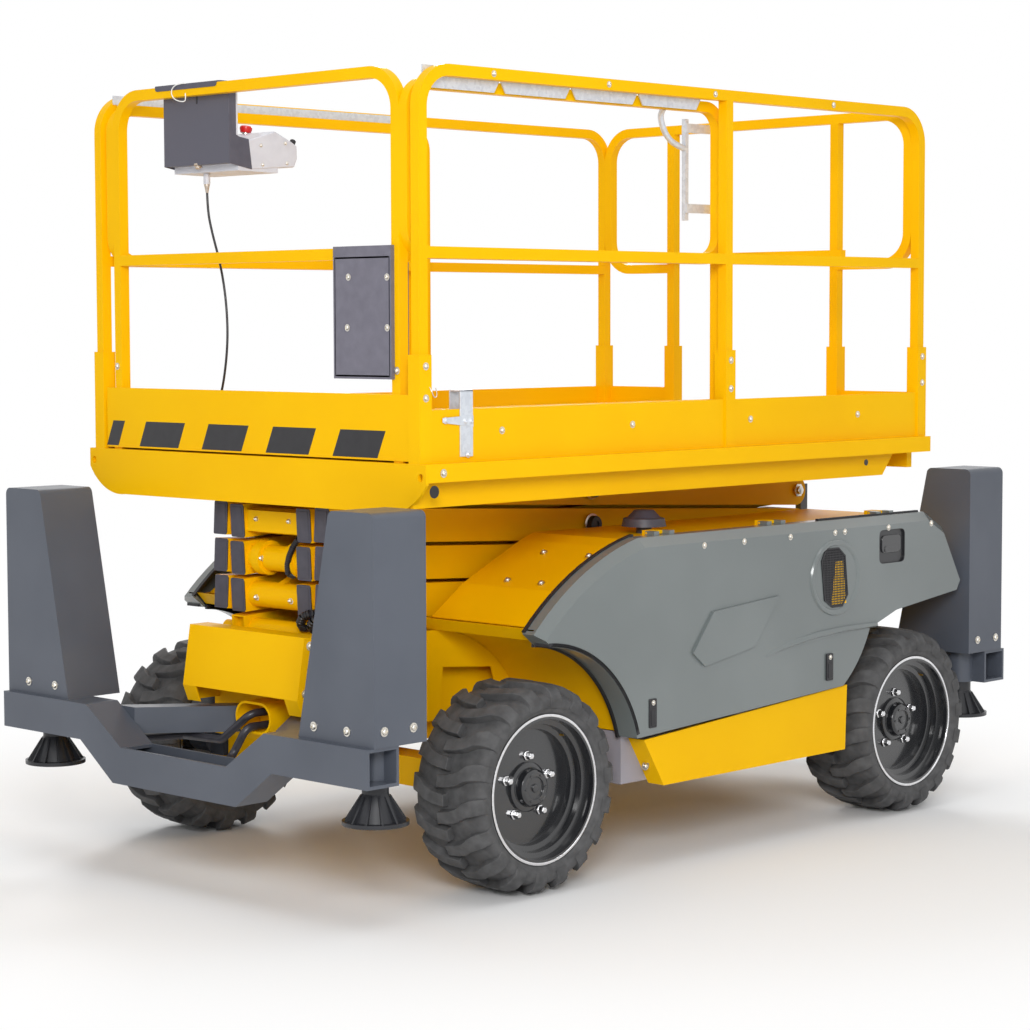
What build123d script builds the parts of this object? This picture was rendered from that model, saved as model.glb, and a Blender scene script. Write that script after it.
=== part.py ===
from build123d import *
import os
from math import atan2, cos, degrees, hypot, radians, sin, tan

os.makedirs("parts", exist_ok=True)

# Rough-terrain scissor lift with four stabiliser jacks.
# X points forward, Y to the left side, Z up.  The origin is on the ground,
# at the middle of the machine.  All sizes are in millimetres.

# ---------------------------------------------------------------- driving sizes
# Running gear
TYRE_RADIUS = 330.0
TYRE_WIDTH = 305.0
TYRE_BEAD_RADIUS = 235.0
TREAD_DEPTH = 24.0
LUGS = 18
LUG_LENGTH = 128.0
LUG_Y = 84.0
LUG_BREADTH = 46.0
LUG_SKEW = 14.0
LUG_PROUD = 6.0
SHOULDER = 42.0
SHOULDER_SLOPE = 42.0
OVERALL_WIDTH = 1800.0
FRONT_AXLE_X = 860.0
WHEELBASE = 1920.0
RIM_WALL = 8.0
RIM_DISC_INSET = 108.0
HUB_RADIUS = 62.0
KINGPIN_INSET = 235.0
KINGPIN_RADIUS = 22.0
AXLE_HEIGHT = 95.0
AXLE_DEPTH = 110.0

# Scissor stack
ARM_LENGTH = 2310.0
ARM_HEIGHT = 108.0
ARM_WIDTH = 65.0
ARM_END = 53.0
STOW_ANGLE = 3.0
RAISED_ANGLE = 52.0
LEVELS = 4
SCISSOR_REAR_X = -1150.0
SCISSOR_BASE_Z = 770.0
OUTER_ARM_Y = 247.5
INNER_ARM_Y = 162.5
PIN_RADIUS = 20.0
PIN_HEAD = 10.0
CROSS_TUBE_RADIUS = 42.0
ROLLER_RADIUS = 25.0
COLLAR_RADIUS = 38.0
BOSS_RADIUS = 56.0
BOSSES_Y = ((-98.0, -60.0), (60.0, 98.0))

# Lift cylinder
BARREL_RADIUS = 55.0
ROD_RADIUS = 35.0
CYLINDER_FOOT_X = 100.0
CYLINDER_FOOT_DROP = 100.0
CYLINDER_LUG_S = 150.0
CYLINDER_LUG_Q = 60.0
LUG_THICK = 30.0
LUG_RADIUS = 40.0
FORK_THICK = 20.0
FORK_DEPTH = 130.0

# Platform
DECK_FRONT = 1306.0
DECK_REAR = -1246.0
DECK_WIDTH = 1640.0
DECK_TOP = 1350.0
DECK_PLATE = 16.0
SIDE_BEAM_HEIGHT = 55.0
UNDERFRAME_BOTTOM = 1215.0
BUMPER_BOTTOM = 1200.0
BUMPER_THICK = 12.0
TIE_Y = 797.0
TIE_Z = 1310.0
TIE_RADIUS = 12.0
TOE_TOP = 1510.0
TOE_THICK = 6.0
RAIL_TUBE = 35.0
RAIL_OUTER_Y = 785.0
RAIL_TOP = 2535.0
MID_RAIL_TOP = 1995.0
RAIL_BEND = 130.0
SOCKET_TOP = 1674.0
SOCKET_WALL = 7.0
GATE_HALF = 400.0

# Platform extension
EXT_REAR = -200.0
EXT_FRONT = 1296.0
EXT_HALF_WIDTH = 735.0
EXT_RAIL_TOP = 2498.0
EXT_FLOOR = 1356.0
EXT_PLATE = 14.0
EXT_TOE_TOP = 1555.0

# Chassis
FRAME_HALF_WIDTH = 300.0
FRAME_RAIL_WIDTH = 90.0
FRAME_BOTTOM = 420.0
FRAME_REAR_TOP = 690.0
FRAME_FRONT_X = 1200.0
FRAME_REAR_X = -1240.0
BELLY_PLATE = 10.0
SLEEVE_Z = 510.0
SLEEVE_WIDTH = 174.0
SLEEVE_HEIGHT = 103.0
SLEEVE_LENGTH = 90.0
GUARD_HALF = 282.0
GUARD_TOP = 792.0
GUARD_LOW = 597.0
GUARD_TOP_X = 1316.0
GUARD_LOW_X = 1348.0
GUARD_WALL = 8.0
COWL_INNER_Y = 330.0
COWL_OUTER_Y = 798.0
COWL_INSET = 14.0
COWL_WALL = 8.0
ARCH_WALL_Y = 360.0
CAP_X = 100.0
CAP_Y = 615.0
CAP_RIM = 1089.0
CAP_RADIUS = 75.0
CAP_NECK = 26.0
HOOD_GAP = 6.0
HOOD_DEPTH = 78.0
HOOD_WALL = 10.0
HOOD_BEVEL = 30.0
FIN_RISE = 9.0
OVAL_X = -602.0
RECESS_DEPTH = 4.0
GRILLE_X = -592.0
GRILLE_Z = 883.0
GRILLE_PITCH = 24.0
GRILLE_CORNERS = ((50, 104), (-24, 104), (-62, 74), (-78, -64), (-46, -104), (12, -104), (56, -76), (74, 62))
LEDGE_DEPTH = 7.0
HANDLE_X = -930.0
HANDLE_Z = 972.0
HOOD_TOP = 1080.0
HOOD_REAR_X = -1370.0
HINGE_Y = 801.0
HINGE_Z = 1087.0
HINGE_PIN = 4.0
HINGE_HALF = 25.0
HINGES_X = (-950.0, -330.0, 250.0)
ARCH_RADIUS = 440.0
SILL_BOTTOM = 268.0
SILL_Y = 858.0

# Stabilisers
JACK_X = 1490.0
JACK_DEPTH = 210.0
JACK_OUTER_Y = 900.0
JACK_BOTTOM_WIDTH = 330.0
JACK_TOP_WIDTH = 190.0
JACK_BOTTOM = 545.0
JACK_TOP = 1225.0
JACK_WALL = 6.0
BEAM_FRONT = 1620.0
BEAM_DEPTH = 126.0
BEAM_TOP = 545.0
BEAM_HEIGHT = 118.0
BEAM_DROP = 122.0
BEAM_FLAT_HALF = 260.0
BEAM_SLOPE_HALF = 440.0
BEAM_FLAT_LOW = 305.0
BEAM_SLOPE_LOW = 474.0
BEAM_WALL = 10.0
LEG_Y = 790.0
LEG_RADIUS = 40.0
LEG_GUIDE = 14.0
JACK_BEND = 22.0
FOOT_RADIUS = 100.0
FOOT_Z = 300.0
FOOT_HEIGHT = 92.0
FOOT_RIB_TURN = 30

# Fits
RUN_FIT = 0.05
SEAT_GAP = 0.3
CLEAR = 5.0

# ---------------------------------------------------------------- derived sizes
WHEEL_Y = OVERALL_WIDTH / 2 - TYRE_WIDTH / 2
REAR_AXLE_X = FRONT_AXLE_X - WHEELBASE
KINGPIN_Y = OVERALL_WIDTH / 2 - KINGPIN_INSET
RIM_DISC_Y = OVERALL_WIDTH / 2 - RIM_DISC_INSET
STOW = radians(STOW_ANGLE)
LEVEL_PITCH = ARM_LENGTH * sin(STOW)
SCISSOR_FRONT_X = SCISSOR_REAR_X + ARM_LENGTH * cos(STOW)
OUTER_OUT_Y = OUTER_ARM_Y + ARM_WIDTH / 2
OUTER_IN_Y = OUTER_ARM_Y - ARM_WIDTH / 2
INNER_OUT_Y = INNER_ARM_Y + ARM_WIDTH / 2
INNER_IN_Y = INNER_ARM_Y - ARM_WIDTH / 2
PIN_END_Y = OUTER_OUT_Y + PIN_HEAD
RAIL_INNER_Y = RAIL_OUTER_Y - RAIL_TUBE
TRACK_Z = SCISSOR_BASE_Z - ROLLER_RADIUS
DECK_PIN_Z = SCISSOR_BASE_Z + LEVELS * LEVEL_PITCH
DECK_TRACK_Z = DECK_PIN_Z + ROLLER_RADIUS
LUG_IN_Y = OUTER_OUT_Y + CLEAR
LUG_OUT_Y = FRAME_HALF_WIDTH
FOOT_X = SCISSOR_REAR_X + CYLINDER_FOOT_X
FOOT_PIN_Z = SCISSOR_BASE_Z - CYLINDER_FOOT_DROP
# The rod's pin, set off from the front pin of the second pair of inner arms.
LUG_X = SCISSOR_FRONT_X - CYLINDER_LUG_S * cos(STOW) + CYLINDER_LUG_Q * sin(STOW)
LUG_Z = SCISSOR_BASE_Z + LEVEL_PITCH + CYLINDER_LUG_S * sin(STOW) + CYLINDER_LUG_Q * cos(STOW)
CYLINDER_LENGTH = hypot(LUG_X - FOOT_X, LUG_Z - FOOT_PIN_Z)
CYLINDER_ANGLE = degrees(atan2(LUG_Z - FOOT_PIN_Z, LUG_X - FOOT_X))


def pin_z(level):
    """Height of the stowed pins between two levels; 1 is the chassis, 5 the deck."""
    return SCISSOR_BASE_Z + (level - 1) * LEVEL_PITCH


def block(x, y, z, mode=Mode.ADD):
    """Add a block that spans the given ranges along X, Y and Z."""
    with Locations(((x[0] + x[1]) / 2, (y[0] + y[1]) / 2, (z[0] + z[1]) / 2)):
        Box(abs(x[1] - x[0]), abs(y[1] - y[0]), abs(z[1] - z[0]), mode=mode)


def span(sign, low, high):
    """The range along Y from low to high on the left (1) or right (-1) side."""
    return (min(sign * low, sign * high), max(sign * low, sign * high))


def side_plane(y):
    """A plane facing the right side; its local axes are X and Z."""
    return Plane(origin=(0, y, 0), x_dir=(1, 0, 0), z_dir=(0, -1, 0))


def front_plane(x):
    """A plane facing forward; its local axes are Y and Z."""
    return Plane(origin=(x, 0, 0), x_dir=(0, 1, 0), z_dir=(1, 0, 0))


def shaft(x, z, y, radius, mode=Mode.ADD):
    """Add a round bar along Y between the two ends of y."""
    with BuildSketch(side_plane(max(y))) as section:
        with Locations((x, z)):
            Circle(radius)
    extrude(section.sketch, amount=abs(y[1] - y[0]), mode=mode)


def post(x, y, z, radius, mode=Mode.ADD):
    """Add a round bar along Z between the two ends of z."""
    with BuildSketch(Plane.XY.offset(min(z))) as section:
        with Locations((x, y)):
            Circle(radius)
    extrude(section.sketch, amount=abs(z[1] - z[0]), mode=mode)


def rod_x(x, y, z, radius, mode=Mode.ADD):
    """Add a round bar along X between the two ends of x."""
    with BuildSketch(front_plane(min(x))) as section:
        with Locations((y, z)):
            Circle(radius)
    extrude(section.sketch, amount=abs(x[1] - x[0]), mode=mode)


def finish(part, name, colour):
    """Label a finished piece and write it out."""
    part.part.label = name
    part.part.color = Color(colour)
    export_step(part.part, f"parts/{name}.step")


SIDES = (("left", 1), ("right", -1))
ENDS = (("front", 1), ("rear", -1))
YELLOW = "gold"
GREY = "slategray"
DARK = "dimgray"

# ---------------------------------------------------------------- chassis frame
with BuildPart() as chassis_frame:
    rail_y = (FRAME_HALF_WIDTH - FRAME_RAIL_WIDTH, FRAME_HALF_WIDTH)
    raised_reach = SCISSOR_REAR_X + ARM_LENGTH * cos(radians(RAISED_ANGLE))
    for name, sign in SIDES:
        block((FRAME_REAR_X, FRAME_FRONT_X), span(sign, *rail_y), (FRAME_BOTTOM, FRAME_REAR_TOP))
        # The raised ledge is the track for the rollers of the lowest arms.
        block((raised_reach - 60, FRAME_FRONT_X), span(sign, *rail_y), (FRAME_REAR_TOP, TRACK_Z - SEAT_GAP))
        # The rear lug carries the fixed lower pin.
        lug = span(sign, LUG_IN_Y, LUG_OUT_Y)
        block((SCISSOR_REAR_X - 60, SCISSOR_REAR_X + 60), lug, (FRAME_REAR_TOP, SCISSOR_BASE_Z + 40))
        shaft(SCISSOR_REAR_X, SCISSOR_BASE_Z, span(sign, OUTER_IN_Y, FRAME_HALF_WIDTH), PIN_RADIUS)
    for member_x in (FRAME_REAR_X, -420.0, 430.0, FRAME_FRONT_X - 60):
        block((member_x, member_x + 60), (-rail_y[0], rail_y[0]), (FRAME_BOTTOM, 600))
    block((FRAME_REAR_X, FRAME_FRONT_X), (-rail_y[0], rail_y[0]), (FRAME_BOTTOM, FRAME_BOTTOM + BELLY_PLATE))
    # The cylinder's foot bracket: two cheeks on the belly plate.
    for name, sign in SIDES:
        cheek = span(sign, BARREL_RADIUS + CLEAR, BARREL_RADIUS + CLEAR + FORK_THICK)
        block((FOOT_X - 55, FOOT_X + 55), cheek, (FRAME_BOTTOM + BELLY_PLATE, FOOT_PIN_Z + 40))
    shaft(FOOT_X, FOOT_PIN_Z, (-BARREL_RADIUS - CLEAR, BARREL_RADIUS + CLEAR), PIN_RADIUS)
    # Walls close the inside of the front wheel arches, with a window in each.
    for name, sign in SIDES:
        wall = span(sign, ARCH_WALL_Y, ARCH_WALL_Y + COWL_WALL)
        with BuildSketch(side_plane(wall[1])):
            with Locations((FRONT_AXLE_X, TYRE_RADIUS)):
                Circle(ARCH_RADIUS + COWL_INSET - 1)
            with Locations((650, 640)):
                Rectangle(440, 300, mode=Mode.INTERSECT)
            with BuildLine():
                Polyline((520, 480), (575, 640), (800, 660), (815, 480), close=True)
            make_face(mode=Mode.SUBTRACT)
        extrude(amount=COWL_WALL)
        for stay_x in (500.0, 822.0):
            stay = span(sign, FRAME_HALF_WIDTH, ARCH_WALL_Y)
            block((stay_x, stay_x + 40), stay, (500, 570))
    # The obround sleeve on the front member leads the hoses out.
    with BuildSketch(front_plane(FRAME_FRONT_X)):
        with Locations((0, SLEEVE_Z)):
            SlotOverall(SLEEVE_WIDTH, SLEEVE_HEIGHT)
            SlotOverall(SLEEVE_WIDTH - 16, SLEEVE_HEIGHT - 16, mode=Mode.SUBTRACT)
    extrude(amount=SLEEVE_LENGTH)
finish(chassis_frame, "chassis_frame", YELLOW)

# Outriggers carry the side pods.
with BuildPart() as outriggers:
    for name, sign in SIDES:
        tray = span(sign, FRAME_HALF_WIDTH, COWL_OUTER_Y)
        for tray_x in (-640.0, -150.0, 340.0):
            block((tray_x, tray_x + 80), tray, (FRAME_BOTTOM - 100, FRAME_BOTTOM + 30))
        sill = span(sign, COWL_OUTER_Y - 60, COWL_OUTER_Y)
        block((-640, 420), sill, (FRAME_BOTTOM - 140, FRAME_BOTTOM + 5))
finish(outriggers, "outriggers", "lightgray")

# ---------------------------------------------------------------- front guard
with BuildPart() as front_guard:
    # Columns: inset from the skin, half width, mode.
    for inset, half, mode in ((0, GUARD_HALF, Mode.ADD), (GUARD_WALL, GUARD_HALF - GUARD_WALL, Mode.SUBTRACT)):
        with BuildSketch(side_plane(half)):
            with BuildLine():
                Polyline(
                    (FRAME_FRONT_X - inset, GUARD_LOW - 52 - inset),
                    (FRAME_FRONT_X - inset, GUARD_TOP - inset),
                    (GUARD_TOP_X - inset, GUARD_TOP - inset),
                    (GUARD_LOW_X - inset, GUARD_LOW - inset),
                    (GUARD_LOW_X - 20 - inset, GUARD_LOW - 52 - inset),
                    close=True,
                )
            make_face()
        extrude(amount=2 * half, mode=mode)
    # The top is open over the arms, and the plate ends above the sleeve.
    block((FRAME_FRONT_X - 1, SCISSOR_FRONT_X + 85), (-GUARD_HALF, GUARD_HALF), (700, GUARD_TOP + 1), Mode.SUBTRACT)
    foot = GUARD_HALF - 62
    block((FRAME_FRONT_X - 1, GUARD_LOW_X + 1), (-foot, foot), (GUARD_LOW - 53, GUARD_LOW), Mode.SUBTRACT)
    block((FRAME_FRONT_X, FRAME_FRONT_X + 12), (-foot, foot), (600, FRAME_REAR_TOP))
finish(front_guard, "front_guard", YELLOW)


# ---------------------------------------------------------------- side pods
# The folds of the cowl's sloping front, from its top to its tip.
COWL_FOLDS = ((400.0, 1045.0), (670.0, 920.0), (810.0, 822.0))


def pod_outline(inset, folds=()):
    """The pod's side view: straight top, arched or folded front, two wheel arches."""
    arch = ARCH_RADIUS + inset
    top = HOOD_TOP - inset
    with BuildLine() as outline:
        front_tip = (FRONT_AXLE_X + 22 - inset, 330 + (arch**2 - (22 - inset) ** 2) ** 0.5 + 40)
        front_low = (FRONT_AXLE_X - (arch**2 - (440 + inset - 330) ** 2) ** 0.5, 440 + inset)
        rear_low = (REAR_AXLE_X + (arch**2 - (500 + inset - 330) ** 2) ** 0.5, 500 + inset)
        rear_arch = (REAR_AXLE_X + 250, TYRE_RADIUS + (arch**2 - 250**2) ** 0.5)
        rear_tail = (HOOD_REAR_X + 40 + inset, 786 + inset)
        rear_tip = (HOOD_REAR_X + inset, 848)
        rear_brow = (HOOD_REAR_X + 100 + inset, 1020 - inset / 2)
        rear_top = (HOOD_REAR_X + 210 + inset / 2, top)
        front_top = (340.0 if folds else 400.0, top)
        mid_arc = (FRONT_AXLE_X - 160, 955 - inset)
        Line(front_low, rear_low)
        RadiusArc(rear_low, rear_arch, arch, short_sagitta=True)
        Line(rear_arch, (rear_arch[0] - 150, rear_arch[1] + 50))
        Line((rear_arch[0] - 150, rear_arch[1] + 50), rear_tail)
        Polyline(rear_tail, rear_tip, rear_brow, rear_top)
        Line(rear_top, front_top)
        if folds:
            Polyline(front_top, *folds, front_tip)
        else:
            ThreePointArc(front_top, mid_arc, front_tip)
        arch_top = (FRONT_AXLE_X - 30, TYRE_RADIUS + (arch**2 - 30**2) ** 0.5)
        Line(front_tip, arch_top)
        angle = radians(135)
        arch_mid = (FRONT_AXLE_X + arch * cos(angle), TYRE_RADIUS + arch * sin(angle))
        ThreePointArc(arch_top, arch_mid, front_low)
    make_face(outline.edges())


ENGINE_X = (-560.0, 60.0)
ENGINE_Y = (COWL_INNER_Y + 60, COWL_OUTER_Y - 90)
ENGINE_BOTTOM = 535.0
with BuildPart() as cowls:
    for name, sign in SIDES:
        wide = span(sign, COWL_INNER_Y, COWL_OUTER_Y)
        inside = span(sign, COWL_INNER_Y + COWL_WALL, COWL_OUTER_Y + 1)
        with BuildSketch(side_plane(wide[1])):
            pod_outline(COWL_INSET, COWL_FOLDS)
        extrude(amount=wide[1] - wide[0])
        with BuildSketch(side_plane(inside[1])):
            folds = [(x - COWL_WALL / 2, z - COWL_WALL) for x, z in COWL_FOLDS]
            pod_outline(COWL_INSET + COWL_WALL, folds)
        extrude(amount=inside[1] - inside[0], mode=Mode.SUBTRACT)
        # Feet seat the sloping pod floor on the outriggers.
        for tray_x, foot_top in ((-640.0, 518.0), (-150.0, 494.0), (340.0, 466.0)):
            for foot_y in (COWL_INNER_Y + 10, COWL_OUTER_Y - 90):
                block((tray_x + 10, tray_x + 70), span(sign, foot_y, foot_y + 60), (FRAME_BOTTOM + 30, foot_top))
        for hinge_x in HINGES_X:
            leaf = (hinge_x - HINGE_HALF, hinge_x + HINGE_HALF)
            block(leaf, span(sign, HINGE_Y - 40, HINGE_Y - 4), (HOOD_TOP - 14, HINGE_Z + 6))
            block(leaf, span(sign, HINGE_Y - 4, HINGE_Y + 4), (HINGE_Z - 5, HINGE_Z + 6))
            rod_x((hinge_x - 2 * HINGE_HALF, hinge_x + 2 * HINGE_HALF), sign * HINGE_Y, HINGE_Z, HINGE_PIN)
    # Two bearers in the left pod carry the engine.
    for bearer_x in (ENGINE_X[0] + 60, ENGINE_X[1] - 120):
        block((bearer_x, bearer_x + 60), ENGINE_Y, (480, ENGINE_BOTTOM - SEAT_GAP))
finish(cowls, "cowls", YELLOW)

with BuildPart() as filler_cap:
    with BuildSketch(Plane(origin=(CAP_X, CAP_Y, 0), x_dir=(1, 0, 0), z_dir=(0, -1, 0))):
        with BuildLine():
            Polyline(
                (0, HOOD_TOP - COWL_INSET),
                (CAP_NECK, HOOD_TOP - COWL_INSET),
                (CAP_NECK, CAP_RIM),
                (CAP_RADIUS, CAP_RIM),
                (CAP_RADIUS - 6, CAP_RIM + 26),
                (CAP_RADIUS - 20, CAP_RIM + 30),
                (CAP_RADIUS - 42, CAP_RIM + 54),
                (0, CAP_RIM + 56),
                close=True,
            )
        make_face()
    revolve(axis=Axis((CAP_X, CAP_Y, 0), (0, 0, 1)))
finish(filler_cap, "filler_cap", DARK)

HOOD_INNER_Y = COWL_OUTER_Y + HOOD_GAP
HOOD_OUTER_Y = HOOD_INNER_Y + HOOD_DEPTH
for name, sign in SIDES:
    with BuildPart() as hood_core:
        core = span(sign, COWL_OUTER_Y, HOOD_OUTER_Y - HOOD_WALL)
        with BuildSketch(side_plane(core[1])):
            pod_outline(HOOD_WALL)
        extrude(amount=core[1] - core[0])
        skin = faces().sort_by(Axis.Y)[-1 if sign > 0 else 0]
        chamfer(skin.edges().filter_by(lambda edge: edge.center().Z > 900), HOOD_BEVEL)
    # The skin below the crease sinks in towards the rear.
    with BuildPart() as ledge:
        with BuildSketch(Plane.XY.offset(400)):
            with BuildLine():
                Polyline(
                    (-214, sign * (HOOD_OUTER_Y + 1)),
                    (-1000, sign * (HOOD_OUTER_Y + 1)),
                    (-1000, sign * (HOOD_OUTER_Y - LEDGE_DEPTH)),
                    (-214, sign * HOOD_OUTER_Y),
                    close=True,
                )
            make_face()
        extrude(amount=400)
        with BuildSketch(side_plane(max(span(sign, HOOD_OUTER_Y - 20, HOOD_OUTER_Y + 20)))):
            with BuildLine():
                Polyline((-200, 645), (-1010, 718), (-1010, 810), (-200, 810), close=True)
            make_face()
        extrude(amount=40, mode=Mode.SUBTRACT)
    with BuildPart() as hood:
        shell = span(sign, HOOD_INNER_Y, HOOD_OUTER_Y)
        with BuildSketch(side_plane(shell[1])):
            pod_outline(0)
        extrude(amount=shell[1] - shell[0])
        skin = faces().sort_by(Axis.Y)[-1 if sign > 0 else 0]
        chamfer(skin.edges().filter_by(lambda edge: edge.center().Z > 900), HOOD_BEVEL)
        add(hood_core.part, mode=Mode.SUBTRACT)
        add(ledge.part, mode=Mode.SUBTRACT)
        # The faces kept pending from the ovals and the opening are drawn out again with the
        # mesh, so all four end as one closed pad that stiffens the skin behind the vent.
        floor_y = HOOD_OUTER_Y - RECESS_DEPTH - HOOD_WALL
        # Columns: half sizes of the oval, inner and outer depth, mode.
        ovals = (
            (137, 126, floor_y, HOOD_OUTER_Y - 0.5, Mode.ADD),
            (133, 122, HOOD_OUTER_Y - RECESS_DEPTH, HOOD_OUTER_Y, Mode.SUBTRACT),
        )
        for half_x, half_z, low, high, mode in ovals:
            depth = span(sign, low, high)
            with BuildSketch(side_plane(depth[1])) as oval:
                with Locations((OVAL_X, GRILLE_Z)):
                    Ellipse(half_x, half_z)
            extrude(oval.sketch, amount=high - low, mode=mode)
        wall = span(sign, floor_y, HOOD_OUTER_Y)
        with BuildSketch(side_plane(wall[1])) as opening:
            with BuildLine():
                Polyline(*[(GRILLE_X + x, GRILLE_Z + z) for x, z in GRILLE_CORNERS], close=True)
            make_face()
        extrude(opening.sketch, amount=HOOD_WALL + RECESS_DEPTH, mode=Mode.SUBTRACT)
        mesh = span(sign, floor_y, floor_y + HOOD_WALL)
        with BuildSketch(side_plane(mesh[1])):
            with BuildLine():
                Polyline(*[(GRILLE_X + 1.03 * x, GRILLE_Z + 1.02 * z) for x, z in GRILLE_CORNERS], close=True)
            make_face()
            with Locations((GRILLE_X, GRILLE_Z)):
                with GridLocations(GRILLE_PITCH, GRILLE_PITCH, 5, 8):
                    Rectangle(GRILLE_PITCH - 5, GRILLE_PITCH - 5, mode=Mode.SUBTRACT)
        extrude(amount=HOOD_WALL)
        # The pocket of the handle.
        pocket = span(sign, HOOD_OUTER_Y - HOOD_WALL + 2, HOOD_OUTER_Y)
        with BuildSketch(side_plane(pocket[1])):
            with Locations((HANDLE_X, HANDLE_Z)):
                RectangleRounded(150, 118, 22)
        extrude(amount=HOOD_WALL - 2, mode=Mode.SUBTRACT)
        # A raised fin stiffens the skin.
        fin = span(sign, HOOD_OUTER_Y - 2, HOOD_OUTER_Y + FIN_RISE)
        with BuildSketch(side_plane(fin[1])):
            with BuildLine():
                Polyline((168, 690), (63, 819), (-282, 845), (-150, 684), (108, 642), close=True)
            make_face()
        extrude(amount=FIN_RISE + 2)
        for hinge_x in HINGES_X:
            for knuckle_x in (hinge_x - 2 * HINGE_HALF, hinge_x + HINGE_HALF + SEAT_GAP):
                knuckle = (knuckle_x, knuckle_x + HINGE_HALF - SEAT_GAP)
                block(knuckle, span(sign, HINGE_Y - 5, HINGE_Y + 34), (HOOD_TOP, HINGE_Z + 6))
            bore = (hinge_x - 2 * HINGE_HALF, hinge_x + 2 * HINGE_HALF)
            rod_x(bore, sign * HINGE_Y, HINGE_Z, HINGE_PIN + RUN_FIT, mode=Mode.SUBTRACT)
    finish(hood, f"hood_{name}", GREY)

with BuildPart() as sill_panels:
    for name, sign in SIDES:
        skin = span(sign, SILL_Y, SILL_Y + COWL_WALL)
        with BuildSketch(side_plane(skin[1])):
            with BuildLine():
                Polyline((384, 427), (286, SILL_BOTTOM), (-683, SILL_BOTTOM + 3), (-692, 498), close=True)
            make_face()
        extrude(amount=COWL_WALL)
        # A flange turns in along the sloping front edge.
        flange = span(sign, COWL_OUTER_Y, SILL_Y)
        with BuildSketch(side_plane(flange[1])):
            with BuildLine():
                Polyline((384, 427), (286, SILL_BOTTOM), (276, SILL_BOTTOM), (374, 427), close=True)
            make_face()
        extrude(amount=SILL_Y - COWL_OUTER_Y)
        for stay_x in (-600.0, 180.0):
            block((stay_x, stay_x + 60), flange, (SILL_BOTTOM + 30, SILL_BOTTOM + 70))
finish(sill_panels, "sill_panels", YELLOW)

# The engine stands in the left pod, on the outriggers.
with BuildPart() as engine_block:
    block(ENGINE_X, ENGINE_Y, (ENGINE_BOTTOM, 950))
finish(engine_block, "engine_block", DARK)

# ---------------------------------------------------------------- axles and knuckles
with BuildPart() as axles:
    fork_x = AXLE_DEPTH / 2
    for axle_x, reach in ((FRONT_AXLE_X, KINGPIN_Y), (REAR_AXLE_X, RIM_DISC_Y - 40)):
        low = TYRE_RADIUS - AXLE_HEIGHT / 2
        high = TYRE_RADIUS + AXLE_HEIGHT / 2
        inner = reach - 120 if reach == KINGPIN_Y else reach
        block((axle_x - fork_x, axle_x + fork_x), (-inner, inner), (low, high))
        block((axle_x - fork_x, axle_x + fork_x), (-160, 160), (high, FRAME_BOTTOM))
    for name, sign in SIDES:
        arm_y = span(sign, KINGPIN_Y - 120, KINGPIN_Y + 34)
        low = TYRE_RADIUS - AXLE_HEIGHT / 2
        high = TYRE_RADIUS + AXLE_HEIGHT / 2
        root = span(sign, KINGPIN_Y - 120, KINGPIN_Y - 80)
        block((FRONT_AXLE_X - 50, FRONT_AXLE_X + 50), root, (low - 40, high + 40))
        for ear in ((low - 40, low - 15), (high + 15, high + 40)):
            block((FRONT_AXLE_X - 34, FRONT_AXLE_X + 34), arm_y, ear)
            kingpin_bore = KINGPIN_RADIUS + RUN_FIT
            post(FRONT_AXLE_X, sign * KINGPIN_Y, ear, kingpin_bore, mode=Mode.SUBTRACT)
        # The rear wheels turn on stub spindles.
        hub = span(sign, RIM_DISC_Y - 40, RIM_DISC_Y - SEAT_GAP)
        shaft(REAR_AXLE_X, TYRE_RADIUS, hub, HUB_RADIUS)
        nose = span(sign, RIM_DISC_Y - SEAT_GAP, RIM_DISC_Y + 24)
        shaft(REAR_AXLE_X, TYRE_RADIUS, nose, HUB_RADIUS / 2)
finish(axles, "axles", YELLOW)

for name, sign in SIDES:
    with BuildPart() as knuckle:
        low = TYRE_RADIUS - AXLE_HEIGHT / 2 - 15 + SEAT_GAP
        high = TYRE_RADIUS + AXLE_HEIGHT / 2 + 15 - SEAT_GAP
        block((FRONT_AXLE_X - 34, FRONT_AXLE_X + 34), span(sign, KINGPIN_Y - 34, KINGPIN_Y + 34), (low, high))
        post(FRONT_AXLE_X, sign * KINGPIN_Y, (low - 25, high + 25), KINGPIN_RADIUS)
        shaft(FRONT_AXLE_X, TYRE_RADIUS, span(sign, KINGPIN_Y + 34, RIM_DISC_Y - SEAT_GAP), HUB_RADIUS)
        nose = span(sign, RIM_DISC_Y - SEAT_GAP, RIM_DISC_Y + 24)
        shaft(FRONT_AXLE_X, TYRE_RADIUS, nose, HUB_RADIUS / 2)
    finish(knuckle, f"knuckle_{name}", DARK)

# ---------------------------------------------------------------- wheels
# Columns: name, axle position, side.
WHEELS = (
    ("front_left", FRONT_AXLE_X, 1),
    ("front_right", FRONT_AXLE_X, -1),
    ("rear_left", REAR_AXLE_X, 1),
    ("rear_right", REAR_AXLE_X, -1),
)
HALF_TYRE = TYRE_WIDTH / 2
skew = radians(LUG_SKEW)
corner_run = LUG_LENGTH / 2 * sin(skew) + LUG_BREADTH / 2 * cos(skew)
LUG_RISE = (TYRE_RADIUS**2 - corner_run**2) ** 0.5 - TYRE_RADIUS + TREAD_DEPTH
wheel_end = Plane(origin=(0, HALF_TYRE, 0), x_dir=(1, 0, 0), z_dir=(0, -1, 0))
wheel_plane = Plane(origin=(0, 0, 0), x_dir=(0, 1, 0), z_dir=(-1, 0, 0))
wheel_axis = Axis((0, 0, 0), (0, 1, 0))
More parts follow.
